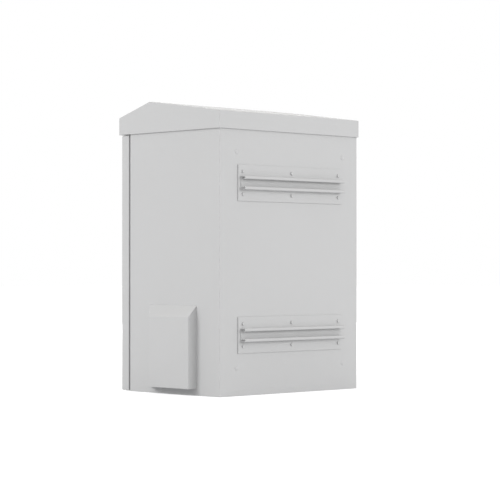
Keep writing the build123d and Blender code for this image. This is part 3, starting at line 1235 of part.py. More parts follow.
# The latch rods: flat bars that lock behind the flanges above and below the door opening
ROD_FRONT = FRONT + SHEET + ROD_CLEARANCE
ROD_BACK = ROD_FRONT + ROD_THICKNESS
ROD_OFFSET = CAM_THROW * (1 + math.cos(math.radians(45))) / 2
ROD_TRAVEL = CAM_THROW * math.sqrt(2)
YOKE_HEIGHT = 2 * (DRIVE_PIN_RADIUS + YOKE_PLAY)
YOKE_WIDTH = CAM_THROW * (1 - math.cos(math.radians(45))) + 2 * DRIVE_PIN_RADIUS + YOKE_PLAY
PIN_RISE = CAM_THROW * math.sin(math.radians(45))
UPPER_END = HEADER_BOTTOM - SHEET + ROD_GRIP - ROD_TRAVEL
LOWER_END = FLANGE + SHEET - ROD_GRIP + ROD_TRAVEL
for level, direction, end in (("upper", 1, UPPER_END), ("lower", -1, LOWER_END)):
    rod_x = SPINDLE_X + direction * ROD_OFFSET
    yoke_z = SPINDLE_Z - direction * PIN_RISE
    start = yoke_z - direction * (YOKE_HEIGHT / 2 + YOKE_END)
    with BuildPart() as latch_rod:
        with BuildSketch(at_y(ROD_BACK)):
            with Locations((rod_x, (start + end) / 2)):
                Rectangle(ROD_WIDTH, abs(end - start))
            with Locations((rod_x, yoke_z)):
                RectangleRounded(YOKE_WIDTH, YOKE_HEIGHT, YOKE_CORNER, mode=Mode.SUBTRACT)
        extrude(amount=ROD_THICKNESS)
        rod_tip = latch_rod.faces().sort_by(Axis.Z)[-1 if direction > 0 else 0]
        chamfer(rod_tip.edges().filter_by(Axis.X).sort_by(Axis.Y)[0], length=ROD_RAMP[0], length2=ROD_RAMP[1])
    save(latch_rod, f"latch_rod_{level}")

# Each rod slides through a folded guide that stands on a stiffener
with BuildPart() as rod_guides:
    for stiffener_z, direction in zip(STIFFENER_Z, (-1, 1)):
        rod_x = SPINDLE_X + direction * ROD_OFFSET
        inner = ROD_WIDTH / 2 + SEAT
        with BuildSketch(Plane.XY.offset(stiffener_z - GUIDE_HEIGHT / 2)):
            with BuildLine():
                Polyline(
                    (rod_x - inner - GUIDE_FOOT, STIFFENER_BACK),
                    (rod_x - inner, STIFFENER_BACK),
                    (rod_x - inner, ROD_BACK + SEAT),
                    (rod_x + inner, ROD_BACK + SEAT),
                    (rod_x + inner, STIFFENER_BACK),
                    (rod_x + inner + GUIDE_FOOT, STIFFENER_BACK),
                )
                offset(amount=SHEET, side=Side.LEFT, kind=Kind.INTERSECTION)
            make_face()
            with Locations((rod_x, ROD_FRONT - SEAT - SHEET / 2)):
                Rectangle(2 * inner + SHEET, SHEET)
        extrude(amount=GUIDE_HEIGHT)
save(rod_guides, "rod_guides")

# The escutcheon on the face of the door, with the bearing of the spindle
with BuildPart() as handle_escutcheon:
    with BuildSketch(at_y(DOOR_FRONT)):
        with Locations((SPINDLE_X, SPINDLE_Z)):
            SlotOverall(ESCUTCHEON_HEIGHT, ESCUTCHEON_WIDTH, rotation=90)
            with GridLocations(0, ESCUTCHEON_HEIGHT - 2 * ESCUTCHEON_INSET, 1, 2):
                Circle(ESCUTCHEON_SCREW + HOLE_PLAY, mode=Mode.SUBTRACT)
    extrude(amount=ESCUTCHEON_THICKNESS)
    escutcheon_rim = handle_escutcheon.faces().sort_by(Axis.Y)[0].outer_wire().edges()
    chamfer(escutcheon_rim, length=ESCUTCHEON_EDGE)
    with BuildSketch(at_y(DOOR_FRONT)):
        with Locations((SPINDLE_X, SPINDLE_Z)):
            Circle(BEARING_RADIUS)
    extrude(amount=-BEARING_LENGTH)
    with BuildSketch(at_y(DOOR_FRONT - ESCUTCHEON_THICKNESS)):
        with Locations((SPINDLE_X, SPINDLE_Z)):
            Circle(SPINDLE_RADIUS + PIN_PLAY)
    extrude(amount=-(ESCUTCHEON_THICKNESS + BEARING_LENGTH), mode=Mode.SUBTRACT)
save(handle_escutcheon, "handle_escutcheon")

with BuildPart() as escutcheon_screws:
    with BuildSketch(at_y(DOOR_FRONT - ESCUTCHEON_THICKNESS)):
        with Locations((SPINDLE_X, SPINDLE_Z)):
            with GridLocations(0, ESCUTCHEON_HEIGHT - 2 * ESCUTCHEON_INSET, 1, 2):
                Circle(ESCUTCHEON_SCREW * HEXAGON)
    extrude(amount=ESCUTCHEON_SCREW_HEAD)
    with BuildSketch(at_y(DOOR_FRONT - ESCUTCHEON_THICKNESS)):
        with Locations((SPINDLE_X, SPINDLE_Z)):
            with GridLocations(0, ESCUTCHEON_HEIGHT - 2 * ESCUTCHEON_INSET, 1, 2):
                Circle(ESCUTCHEON_SCREW)
    extrude(amount=-(ESCUTCHEON_THICKNESS + 3 * SHEET))
save(escutcheon_screws, "escutcheon_screws")

# The handle: a casting with a hub, a cranked lever and the spindle that runs through the door to the cam.
# The lever lies level when the door is free to open.
CAM_FRONT = ROD_BACK + SEAT
CAM_BACK = CAM_FRONT + CAM_THICKNESS
SPINDLE_END = CAM_BACK + CAM_NUT + 1
HANDLE_BACK = DOOR_FRONT - ESCUTCHEON_THICKNESS - SEAT
HUB_FRONT = HANDLE_BACK - HUB_HEIGHT
LEVER_ROOT_Y = HUB_FRONT + LEVER_THICKNESS / 2
with BuildPart() as handle:
    with BuildSketch(at_y(HANDLE_BACK)):
        with Locations((SPINDLE_X, SPINDLE_Z)):
            Circle(HUB_RADIUS)
    extrude(amount=HUB_HEIGHT)
    with BuildLine() as lever_spine:
        Spline(
            (SPINDLE_X, LEVER_ROOT_Y, SPINDLE_Z),
            (SPINDLE_X - 0.4 * LEVER_LENGTH, LEVER_ROOT_Y - 0.35 * LEVER_CRANK, SPINDLE_Z),
            (SPINDLE_X - LEVER_LENGTH, LEVER_ROOT_Y - LEVER_CRANK, SPINDLE_Z),
            tangents=((-1, 0, 0), (-1, 0, 0)),
        )
    with BuildSketch(Plane(origin=lever_spine.line @ 0, x_dir=(0, 1, 0), z_dir=(-1, 0, 0))):
        RectangleRounded(LEVER_THICKNESS, LEVER_WIDTH, LEVER_THICKNESS / 2 - 1)
    sweep()
    lever_end = handle.faces().sort_by(Axis.X)[0]
    fillet(lever_end.edges(), radius=LEVER_END)
    with BuildSketch(at_y(HUB_FRONT)):
        with Locations((SPINDLE_X, SPINDLE_Z)):
            Circle(LOCK_RADIUS + PIN_PLAY)
    extrude(amount=-LOCK_DEPTH, mode=Mode.SUBTRACT)
    with BuildSketch(at_y(SPINDLE_END)):
        with Locations((SPINDLE_X, SPINDLE_Z)):
            Circle(SPINDLE_RADIUS)
    extrude(amount=SPINDLE_END - HANDLE_BACK)
save(handle, "handle")

# The lock core in the hub, with its keyway
with BuildPart() as lock_core:
    with BuildSketch(at_y(HUB_FRONT + LOCK_DEPTH - SEAT)):
        with Locations((SPINDLE_X, SPINDLE_Z)):
            Circle(LOCK_RADIUS)
    extrude(amount=LOCK_DEPTH - SEAT)
    with BuildSketch(at_y(HUB_FRONT)):
        with Locations((SPINDLE_X, SPINDLE_Z)):
            Rectangle(KEYWAY, LOCK_RADIUS)
        with Locations((SPINDLE_X, SPINDLE_Z + KEYWAY)):
            Circle(KEYWAY)
    extrude(amount=-LOCK_DEPTH / 2, mode=Mode.SUBTRACT)
save(lock_core, "lock_core")

# The cam: a plate with two drive pins for the rods and a tongue that locks behind the side flange
with BuildPart() as latch_cam:
    with BuildSketch(at_y(CAM_BACK)):
        with Locations((SPINDLE_X, SPINDLE_Z)):
            SlotCenterToCenter(2 * CAM_THROW, 4 * DRIVE_PIN_RADIUS, rotation=-45)
            Circle(SPINDLE_RADIUS * 2)
        with Locations((SPINDLE_X, SPINDLE_Z - CAM_REACH / 2)):
            Rectangle(CAM_TONGUE, CAM_REACH)
        with Locations((SPINDLE_X, SPINDLE_Z - CAM_REACH)):
            Circle(CAM_TONGUE / 2)
        with Locations((SPINDLE_X, SPINDLE_Z)):
            Circle(SPINDLE_RADIUS + THREAD_PLAY, mode=Mode.SUBTRACT)
    extrude(amount=CAM_THICKNESS)
    with BuildSketch(at_y(CAM_FRONT)):
        with Locations((SPINDLE_X, SPINDLE_Z)):
            with PolarLocations(CAM_THROW, 2, start_angle=-45):
                Circle(DRIVE_PIN_RADIUS)
    extrude(amount=ROD_THICKNESS + 2 * SEAT)
save(latch_cam, "latch_cam")

with BuildPart() as cam_nut:
    with BuildSketch(at_y(CAM_BACK + CAM_NUT)):
        with Locations((SPINDLE_X, SPINDLE_Z)):
            RegularPolygon(SPINDLE_RADIUS * HEXAGON, 6)
            Circle(SPINDLE_RADIUS + THREAD_PLAY, mode=Mode.SUBTRACT)
    extrude(amount=CAM_NUT)
save(cam_nut, "cam_nut")
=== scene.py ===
# The looks of the roadside utility cabinet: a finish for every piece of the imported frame,
# fasteners, beads of weld and terminal screws that are finer than the frame's own, and a plain
# pale room to see it in. Everything is in metres. +X is the side with the air hood, +Y the rear
# wall and +Z up.
import json
import math

import bmesh
import bpy
import numpy as np
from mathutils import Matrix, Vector


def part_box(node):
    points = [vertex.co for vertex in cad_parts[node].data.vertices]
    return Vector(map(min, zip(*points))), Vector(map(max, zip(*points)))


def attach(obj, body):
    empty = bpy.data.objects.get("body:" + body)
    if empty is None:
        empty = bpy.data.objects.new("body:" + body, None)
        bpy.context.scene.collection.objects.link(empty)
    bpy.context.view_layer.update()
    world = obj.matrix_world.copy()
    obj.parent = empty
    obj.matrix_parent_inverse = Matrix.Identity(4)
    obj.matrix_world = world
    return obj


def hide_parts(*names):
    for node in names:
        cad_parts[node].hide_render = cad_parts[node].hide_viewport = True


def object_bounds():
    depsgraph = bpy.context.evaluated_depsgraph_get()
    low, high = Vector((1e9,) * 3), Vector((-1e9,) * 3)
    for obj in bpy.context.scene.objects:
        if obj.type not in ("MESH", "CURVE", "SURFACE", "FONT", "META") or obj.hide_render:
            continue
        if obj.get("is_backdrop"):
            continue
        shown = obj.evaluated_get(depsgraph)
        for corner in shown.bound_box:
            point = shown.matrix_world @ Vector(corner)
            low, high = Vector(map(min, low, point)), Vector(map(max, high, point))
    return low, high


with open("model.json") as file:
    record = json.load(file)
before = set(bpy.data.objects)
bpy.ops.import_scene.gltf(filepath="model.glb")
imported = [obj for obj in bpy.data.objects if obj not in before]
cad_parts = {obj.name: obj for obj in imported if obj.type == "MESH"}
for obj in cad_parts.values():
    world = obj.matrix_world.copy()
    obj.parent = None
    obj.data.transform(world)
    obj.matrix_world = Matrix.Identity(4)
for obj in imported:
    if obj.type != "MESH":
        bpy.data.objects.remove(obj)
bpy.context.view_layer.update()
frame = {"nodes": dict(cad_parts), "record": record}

SLOTS = {part["node"]: part["material_slot"] for part in frame["record"]["subparts"]}
BODIES = {
    node: body for body, nodes in frame["record"]["behaviour"]["bodies"].items() for node in nodes
}

MM = 0.001
TURN = 2 * math.pi

# The photograph's viewpoint
CAMERA_PLACE = Vector((4.2392, 4.3311, 0.3919))
CAMERA_AIM = Vector((-0.70144, -0.71268, 0.00861))
CAMERA_LENS = 137.2
CAMERA_SENSOR = 36.0

# Colours of the finishes, as linear values
WHITE = (1, 1, 1, 1)
PAINT_GREY = (0.600, 0.601, 0.603, 1)
PAINT_SHADE = (0.575, 0.575, 0.576, 1)
DUST = (0.56, 0.54, 0.50, 1)
PLUG_GREY = (0.57, 0.57, 0.575, 1)
ZINC_PALE = (0.66, 0.67, 0.69, 1)
ZINC_DARK = (0.53, 0.54, 0.56, 1)
STEEL_PALE = (0.74, 0.74, 0.75, 1)
STEEL_DARK = (0.60, 0.60, 0.61, 1)
RUBBER_BLACK = (0.018, 0.018, 0.019, 1)
RUBBER_BLOOM = (0.050, 0.049, 0.047, 1)
MOULDED_BLACK = (0.022, 0.022, 0.024, 1)
MOULDED_WORN = (0.060, 0.060, 0.062, 1)
HOUSING_PALE = (0.60, 0.61, 0.60, 1)
HOUSING_SHADE = (0.54, 0.55, 0.54, 1)
TERMINAL_GREY = (0.25, 0.27, 0.29, 1)
TERMINAL_SHADE = (0.19, 0.20, 0.22, 1)
CASTING_BLACK = (0.026, 0.026, 0.028, 1)
CASTING_WORN = (0.095, 0.093, 0.090, 1)
PAPER_CREAM = (0.72, 0.68, 0.58, 1)
PAPER_GREY = (0.50, 0.47, 0.41, 1)
BRASS_YELLOW = (0.66, 0.47, 0.20, 1)
BRASS_BROWN = (0.40, 0.26, 0.11, 1)

# Ranges that the finishes share
GRAIN_BAND = (0.3, 0.7)  # where nearly all of a noise's values lie
MOULDED_SPREAD = 0.14  # of a moulding's roughness, from its smooth spots to its dull ones

# Heads, threads and pins
ROOF_HEAD = 5.3 * MM
M6_HEAD = 4.0 * MM
M5_HEAD = 3.0 * MM
PAN_HEAD = 2.6 * MM
ESCUTCHEON_HEAD = 2.0 * MM
PIN_HEAD = 2.5 * MM
M8_RADIUS, M8_PITCH = 4.0 * MM, 1.25 * MM
M6_RADIUS, M6_PITCH = 3.0 * MM, 1.0 * MM
M5_RADIUS, M5_PITCH = 2.5 * MM, 0.8 * MM
M4_RADIUS, M4_PITCH = 2.0 * MM, 0.7 * MM
SPINDLE_RADIUS = 6.0 * MM
PIN_RADIUS = 3.0 * MM
RAIL_NUT = 5.0 * MM
STUD_COLLAR = 18.0 * MM
COLLAR_CHAMFER = 0.5 * MM
SCREW_THREAD = 6.0 * MM
WASHER_FACE = 0.3 * MM
WASHER_EDGE = 0.96  # of a washer face, over the distance of its hexagon's flats
CROWN_EDGE = 0.95  # of a hexagon's flat top, over the distance of its flats
CROWN_RING = 0.85  # of a ring of points inside that edge
CHAMFER_FALL = 0.4  # of a hexagon's chamfer, over its width
COUNTERSINK = 0.12  # of a nut, over its bore
BORE_FIT = 0.98  # of a nut's bore, over the radius of its thread
SINK = 0.3 * MM  # of a shank's closed top into its head
THREAD_DEPTH = 0.55  # of a thread, over its pitch
PITCH_ROWS = 6  # of points along one pitch
AROUND = 48  # points round a turned piece

# Domed heads, as shares of a head's own radius and height
CROSS = (4, 0.62)  # arms of the recess, and how far they reach
SLIT = (2, 1)
ARM_HALF_WIDTH = 0.17
HEAD_RIM = 0.4
RECESS_FLOOR = 0.3
NEAR_AXIS = 1e-6  # in place of 0 in a division
PIN_RIM = 0.45
PIN_ROUNDING = 0.1  # height of the rounding under a pin's head
PIN_UNDERSIDE = 0.94
PIN_TIP = (0.75, 0.3)  # radius and length of a pin's chamfered tip, over its shaft's radius
PIN_ROWS = 9  # of points over a pin's dome

# Ways that a head faces: an axis of the frame, and the sign along it
LEFTWARD, FORWARD, REARWARD = (0, -1), (1, -1), (1, 1)
DOWNWARD, UPWARD = (2, -1), (2, 1)

# Small screws: the radius and the head of each kind, and where they sit
GLAND_SCREW_TOP = 10.0 * MM  # below this height a sheet screw is one of the gland plate's
WELL_SCREW = (2.8 * MM, 2.2 * MM)
WELL_SIDE = 8.75 * MM
WELL_FLOOR = 24.0 * MM
WELL_RISE = 31.75 * MM
TERMINAL_SCREW = (2.1 * MM, 0.9 * MM)
TERMINAL_POLES = 10
TERMINAL_ROW = 6.5 * MM
EARTH_SCREW = (4.7 * MM, 3.0 * MM)
EARTH_SHANK_RADIUS, EARTH_SHANK_LENGTH = 2.9 * MM, 10.0 * MM
EARTH_HOLES = 10

# Beads of weld
WELD_RADIUS = 1.5 * MM
WELD_RIPPLE = 1.1 * MM
RIPPLE_LOW = 0.86  # of a bead's radius between two ripples
RIPPLE_ROWS = 5  # of points along one ripple
BEAD_AROUND = 12  # points round a bead
ASKEW = (0.3, 0.5, 0.8)  # a direction that no bead runs in
LEAF_INSET, LEAF_RUN = 2.0 * MM, 20.0 * MM  # from a leaf's edge to the near and far end
BRACKET_INSET = 4.0 * MM  # of the upright bead's ends, from a bracket's corners
BRACKET_FRONT, BRACKET_BACK = 6.0 * MM, 3.0 * MM  # of the level beads' ends
STITCHES = 4
STITCH_LENGTH = 26.0 * MM
STITCH_MARGIN = 18.0 * MM
STITCH_SINK, STITCH_STAND = 0.6 * MM, 0.4 * MM  # into the strut's back, and past its edge

# Making one mesh of many grids
SAME_PLACE = 0.01 * MM
MERGE = 0.002 * MM
SHARP_ANGLE = math.radians(32)

# The room
FLOOR_EDGE = 25.0
FLOOR_PALE = (0.69, 0.69, 0.69, 1)
FLOOR_SHADE = (0.67, 0.67, 0.67, 1)
FLOOR_GLOW = 0.60
SKY_LIGHT = 0.73
LAMP_AIM = Vector((0.0, 0.0, 0.4))
LAMPS = {  # place, diameter and power
    "rear_lamp": ((-2.3, 8.4, 2.6), 4.5, 260.0),
    "side_lamp": ((7.7, -2.1, 4.6), 4.5, 265.0),
    "front_lamp": ((-4.8, -4.8, 2.3), 3.5, 230.0),
}


class Shader:
    """Short ways to place and join the nodes of one shader tree."""

    def __init__(self, tree):
        self.tree = tree

    def node(self, kind, inputs=None, **settings):
        """Add a node with these settings, and feed or set its inputs by name or number."""
        added = self.tree.nodes.new(kind)
        for name, value in settings.items():
            setattr(added, name, value)
        for name, value in (inputs or {}).items():
            self.feed(added.inputs[name], value)
        return added

    def feed(self, socket, value):
        """Link another node's output into the socket, or set its plain value."""
        if isinstance(value, bpy.types.NodeSocket):
            self.tree.links.new(value, socket)
        else:
            socket.default_value = value

    def place(self, stretch=(1, 1, 1)):
        """Object coordinates, stretched by a factor on each axis."""
        inputs = {"Vector": self.node("ShaderNodeTexCoord").outputs["Object"], "Scale": stretch}
        return self.node("ShaderNodeMapping", inputs).outputs["Vector"]

    def noise(self, vector, scale, detail=2.0, roughness=0.5):
        """Noise from 0 to 1, with this many patches to a metre."""
        inputs = {"Vector": vector, "Scale": scale, "Detail": detail, "Roughness": roughness}
        return self.node("ShaderNodeTexNoise", inputs).outputs["Fac"]

    def reckon(self, operation, first, second=0.0):
        """One operation on two numbers."""
        return self.node("ShaderNodeMath", {0: first, 1: second}, operation=operation).outputs[0]

    def more(self, value, mask, amount):
        """The value, and this much more where the mask is 1."""
        return self.reckon("ADD", value, self.reckon("MULTIPLY", mask, amount))

    def span(self, value, band, to=(0.0, 1.0)):
        """The value moved from one range to another, and held inside it."""
        ends = {"From Min": band[0], "From Max": band[1], "To Min": to[0], "To Max": to[1]}
        ranged = self.node(
            "ShaderNodeMapRange", {"Value": value, **ends}, interpolation_type="SMOOTHSTEP"
        )
        return ranged.outputs["Result"]

    def mix(self, share, first, second):
        """The first number where the share is 0 and the second where it is 1."""
        inputs = {0: share, 2: first, 3: second}
        return self.node("ShaderNodeMix", inputs, data_type="FLOAT").outputs[0]

    def blend(self, mask, first, second):
        """The first colour where the mask is 0 and the second where it is 1."""
        inputs = {0: mask, 6: first, 7: second}
        return self.node("ShaderNodeMix", inputs, data_type="RGBA").outputs[2]

    def group(self, tree, **inputs):
        """The outputs of one of the shared effects below, with this material's own values."""
        named = {name.replace("_", " "): value for name, value in inputs.items()}
        return self.node("ShaderNodeGroup", named, node_tree=tree).outputs

    def raised(self, height, depth, strength, normal=None):
        """The normal of a surface whose height varies by this depth in metres."""
        inputs = {"Height": height, "Distance": depth, "Strength": strength}
        if normal is not None:
            inputs["Normal"] = normal
        return self.node("ShaderNodeBump", inputs).outputs["Normal"]


def effect(name, inputs, outputs):
    """An empty shared effect: its named inputs with their usual values, and its named outputs."""
    tree = bpy.data.node_groups.new(name, "ShaderNodeTree")
    for label, usual in inputs.items():
        socket = tree.interface.new_socket(label, in_out="INPUT", socket_type="NodeSocketFloat")
        socket.default_value = usual
    for label, kind in outputs.items():
        tree.interface.new_socket(label, in_out="OUTPUT", socket_type=kind)
    shader = Shader(tree)
    given = shader.node("NodeGroupInput").outputs
    return tree, shader, given, shader.node("NodeGroupOutput").inputs


def paint_skin():
    """Powder coat seen close: broad waves of orange peel, with a finer sand texture on them.

    Height is the two noises mixed by Share, and Mottle a slow drift of tone across a panel.
    """
    tree, shader, given, out = effect(
        "Paint Skin",
        {"Peel": 260.0, "Sand": 1500.0, "Share": 0.5},
        {"Height": "NodeSocketFloat", "Mottle": "NodeSocketFloat"},
    )
    place = shader.place()
    peel = shader.noise(place, given["Peel"], detail=2.0, roughness=0.4)
    sand = shader.noise(place, given["Sand"], detail=1.0, roughness=0.6)
    shader.feed(out["Height"], shader.mix(given["Share"], peel, sand))
    drift = shader.noise(place, scale=3.5, detail=3.0)
    shader.feed(out["Mottle"], shader.span(drift, (0.35, 0.7)))
    return tree


def edge_rub():
    """Where an edge is handled, broken up by noise.

    The mask is the angle between the true normal and one rounded over the edge. Rounded Normal
    softens the light on sharp edges, as the coating's own radius does.
    """
    tree, shader, given, out = effect(
        "Edge Rub",
        {"Reach": 0.6 * MM, "Breakup": 140.0, "Amount": 1.0},
        {"Mask": "NodeSocketFloat", "Rounded Normal": "NodeSocketVector"},
    )
    reach = {"Radius": given["Reach"]}
    rounded = shader.node("ShaderNodeBevel", reach, samples=4).outputs["Normal"]
    plain = shader.node("ShaderNodeNewGeometry").outputs["Normal"]
    product = shader.node("ShaderNodeVectorMath", {0: rounded, 1: plain}, operation="DOT_PRODUCT")
    away = shader.reckon("SUBTRACT", 1.0, product.outputs["Value"])
    turned_away = shader.span(away, (0.02, 0.16))
    patches = shader.noise(shader.place(), given["Breakup"], detail=3.0)
    rubbed = shader.reckon("MULTIPLY", turned_away, shader.span(patches, (0.42, 0.66)))
    shader.feed(out["Mask"], shader.reckon("MULTIPLY", rubbed, given["Amount"]))
    shader.feed(out["Rounded Normal"], rounded)
    return tree


def upward(shader):
    """The upward part of the normal."""
    normal = shader.node("ShaderNodeNewGeometry").outputs["Normal"]
    return shader.node("ShaderNodeSeparateXYZ", {0: normal}).outputs["Z"]


def settled_dust():
    """Dust on what faces up: the normal's upward part, eased in from a slope, times slow noise."""
    tree, shader, given, out = effect(
        "Settled Dust", {"Amount": 0.3, "Patches": 9.0}, {"Mask": "NodeSocketFloat"}
    )
    level = shader.span(upward(shader), (0.35, 1.0))
    drift = shader.noise(shader.place(), given["Patches"], detail=4.0, roughness=0.6)
    dust = shader.reckon("MULTIPLY", level, shader.span(drift, (0.3, 0.75), to=(0.25, 1.0)))
    shader.feed(out["Mask"], shader.reckon("MULTIPLY", dust, given["Amount"]))
    return tree


def rain_marks():
    """Faint marks that rain leaves: noise drawn out along Z, on faces that stand upright."""
    tree, shader, given, out = effect(
        "Rain Marks", {"Spacing": 38.0, "Amount": 0.2}, {"Mask": "NodeSocketFloat"}
    )
    upright = shader.span(shader.reckon("ABSOLUTE", upward(shader)), (0.1, 0.5), to=(1.0, 0.0))
    drawn_out = shader.place((1, 1, 0.05))
    streaks = shader.noise(drawn_out, given["Spacing"], detail=3.0, roughness=0.55)
    marks = shader.reckon("MULTIPLY", shader.span(streaks, (0.52, 0.8)), upright)
    shader.feed(out["Mask"], shader.reckon("MULTIPLY", marks, given["Amount"]))
    return tree


def zinc_flakes():
    """The flakes of a zinc coat: the cells round scattered points, each with its own tone.

    Tone is a share of the cell's tone on top of slow clouds, and Height is fine pitting.
    """
    tree, shader, given, out = effect(
        "Zinc Flakes",
        {"Flakes": 180.0},
        {"Tone": "NodeSocketFloat", "Height": "NodeSocketFloat"},
    )
    place = shader.place()
    pattern = {"Vector": place, "Scale": given["Flakes"], "Randomness": 0.9}
    cells = shader.node("ShaderNodeTexVoronoi", pattern).outputs["Color"]
    tone = shader.node("ShaderNodeSeparateColor", {0: cells}).outputs[0]
    clouds = shader.noise(place, scale=22.0, detail=4.0, roughness=0.6)
    shader.feed(out["Tone"], shader.span(shader.more(clouds, tone, 0.3), (0.3, 1.1)))
    shader.feed(out["Height"], shader.noise(place, scale=900.0, detail=2.0, roughness=0.6))
    return tree


def drawn_lines():
    """The lines that drawing leaves in metal: noise stretched along X."""
    tree, shader, given, out = effect(
        "Drawn Lines",
        {"Lines": 900.0},
        {"Tone": "NodeSocketFloat", "Height": "NodeSocketFloat"},
    )
    lines = shader.noise(shader.place((0.02, 1, 1)), given["Lines"], detail=3.0, roughness=0.7)
    patches = shader.noise(shader.place(), scale=30.0, detail=3.0)
    shader.feed(out["Tone"], shader.span(patches, (0.3, 0.75)))
    shader.feed(out["Height"], lines)
    return tree


def fibre_mat():
    """Pressed fibres: two noises drawn out across each other, the higher one at each point."""
    tree, shader, given, out = effect(
        "Fibre Mat", {"Fibres": 900.0}, {"Height": "NodeSocketFloat"}
    )
    fibres = [
        shader.noise(shader.place(stretch), given["Fibres"], detail=3.0, roughness=0.7)
        for stretch in ((1, 1, 0.12), (0.12, 0.12, 1))
    ]
    shader.feed(out["Height"], shader.reckon("MAXIMUM", *fibres))
    return tree


SKIN = paint_skin()
RUB = edge_rub()
SETTLED = settled_dust()
RAIN = rain_marks()
FLAKES = zinc_flakes()
DRAWN = drawn_lines()
FIBRES = fibre_mat()


def new_finish(name, **plain):
    """A new material with a principled shader, whose plain values are set on its own sockets."""
    material = bpy.data.materials.new(name)
    material.use_nodes = True
    shader = Shader(material.node_tree)
    surface = material.node_tree.nodes["Principled BSDF"].inputs
    for socket, value in plain.items():
        surface[socket.replace("_", " ")].default_value = value
    return material, shader, surface


def cabinet_paint():
    """Light grey matt powder coat, with faint dust on what lies level and fainter rain marks."""
    material, shader, surface = new_finish("cabinet_paint", Specular_IOR_Level=0.06)
    skin = shader.group(SKIN, Peel=240.0, Sand=1400.0, Share=0.55)
    edges = shader.group(RUB, Reach=0.7 * MM, Breakup=150.0, Amount=0.25)
    dust = shader.group(SETTLED, Amount=0.35, Patches=8.0)["Mask"]
    rain = shader.group(RAIN, Spacing=34.0, Amount=0.10)["Mask"]
    mottle = shader.reckon("MULTIPLY", skin["Mottle"], 0.22)
    colour = shader.blend(mottle, PAINT_GREY, PAINT_SHADE)
    colour = shader.blend(rain, colour, PAINT_SHADE)
    colour = shader.blend(dust, colour, DUST)
    shader.feed(surface["Base Color"], shader.blend(edges["Mask"], colour, ZINC_PALE))
    rough = shader.span(skin["Height"], GRAIN_BAND, to=(0.66, 0.80))
    shader.feed(surface["Roughness"], shader.more(rough, dust, 0.2))
    normal = shader.raised(skin["Height"], 0.06 * MM, 0.55, edges["Rounded Normal"])
    shader.feed(surface["Normal"], normal)
    return material


def painted_bolt():
    """The same coat, thicker on the bolts and rubbed on their corners by a spanner."""
    material, shader, surface = new_finish("painted_bolt", Specular_IOR_Level=0.2)
    skin = shader.group(SKIN, Peel=700.0, Sand=2400.0, Share=0.4)
    edges = shader.group(RUB, Reach=0.35 * MM, Breakup=900.0, Amount=0.55)
    mottle = shader.reckon("MULTIPLY", skin["Mottle"], 0.3)
    colour = shader.blend(mottle, PAINT_GREY, PAINT_SHADE)
    shader.feed(surface["Base Color"], shader.blend(edges["Mask"], colour, ZINC_DARK))
    rough = shader.span(skin["Height"], GRAIN_BAND, to=(0.50, 0.66))
    shader.feed(surface["Roughness"], rough)
    normal = shader.raised(skin["Height"], 0.05 * MM, 0.6, edges["Rounded Normal"])
    shader.feed(surface["Normal"], normal)
    return material


def zinc_steel():
    """Zinc plated sheet and fasteners: dull silver flakes that differ in tone and gloss."""
    material, shader, surface = new_finish("zinc_steel", Metallic=1.0)
    flakes = shader.group(FLAKES, Flakes=120.0)
    edges = shader.group(RUB, Reach=0.4 * MM, Breakup=400.0, Amount=0.6)
    dust = shader.group(SETTLED, Amount=0.25, Patches=11.0)["Mask"]
    colour = shader.blend(flakes["Tone"], ZINC_DARK, ZINC_PALE)
    colour = shader.blend(edges["Mask"], colour, STEEL_PALE)
    shader.feed(surface["Base Color"], shader.blend(dust, colour, DUST))
    rough = shader.span(flakes["Tone"], (0.0, 1.0), to=(0.50, 0.40))
    shader.feed(surface["Roughness"], shader.more(rough, dust, 0.5))
    normal = shader.raised(flakes["Height"], 0.02 * MM, 0.4, edges["Rounded Normal"])
    shader.feed(surface["Normal"], normal)
    return material


def bright_steel():
    """Bright drawn steel, with fine lines along it."""
    material, shader, surface = new_finish("bright_steel", Metallic=1.0)
    drawn = shader.group(DRAWN, Lines=1100.0)
    edges = shader.group(RUB, Reach=0.25 * MM, Breakup=600.0, Amount=0.5)
    shader.feed(surface["Base Color"], shader.blend(drawn["Tone"], STEEL_DARK, STEEL_PALE))
    rough = shader.span(drawn["Height"], GRAIN_BAND, to=(0.16, 0.30))
    shader.feed(surface["Roughness"], rough)
    normal = shader.raised(drawn["Height"], 0.008 * MM, 0.4, edges["Rounded Normal"])
    shader.feed(surface["Normal"], normal)
    return material


def drawn_brass():
    """The earth bar's drawn brass, browned in patches."""
    material, shader, surface = new_finish("drawn_brass", Metallic=1.0)
    drawn = shader.group(DRAWN, Lines=1000.0)
    browned = shader.reckon("MULTIPLY", drawn["Tone"], 0.7)
    shader.feed(surface["Base Color"], shader.blend(browned, BRASS_YELLOW, BRASS_BROWN))
    rough = shader.span(drawn["Tone"], (0.0, 1.0), to=(0.26, 0.46))
    shader.feed(surface["Roughness"], rough)
    shader.feed(surface["Normal"], shader.raised(drawn["Height"], 0.01 * MM, 0.5))
    return material


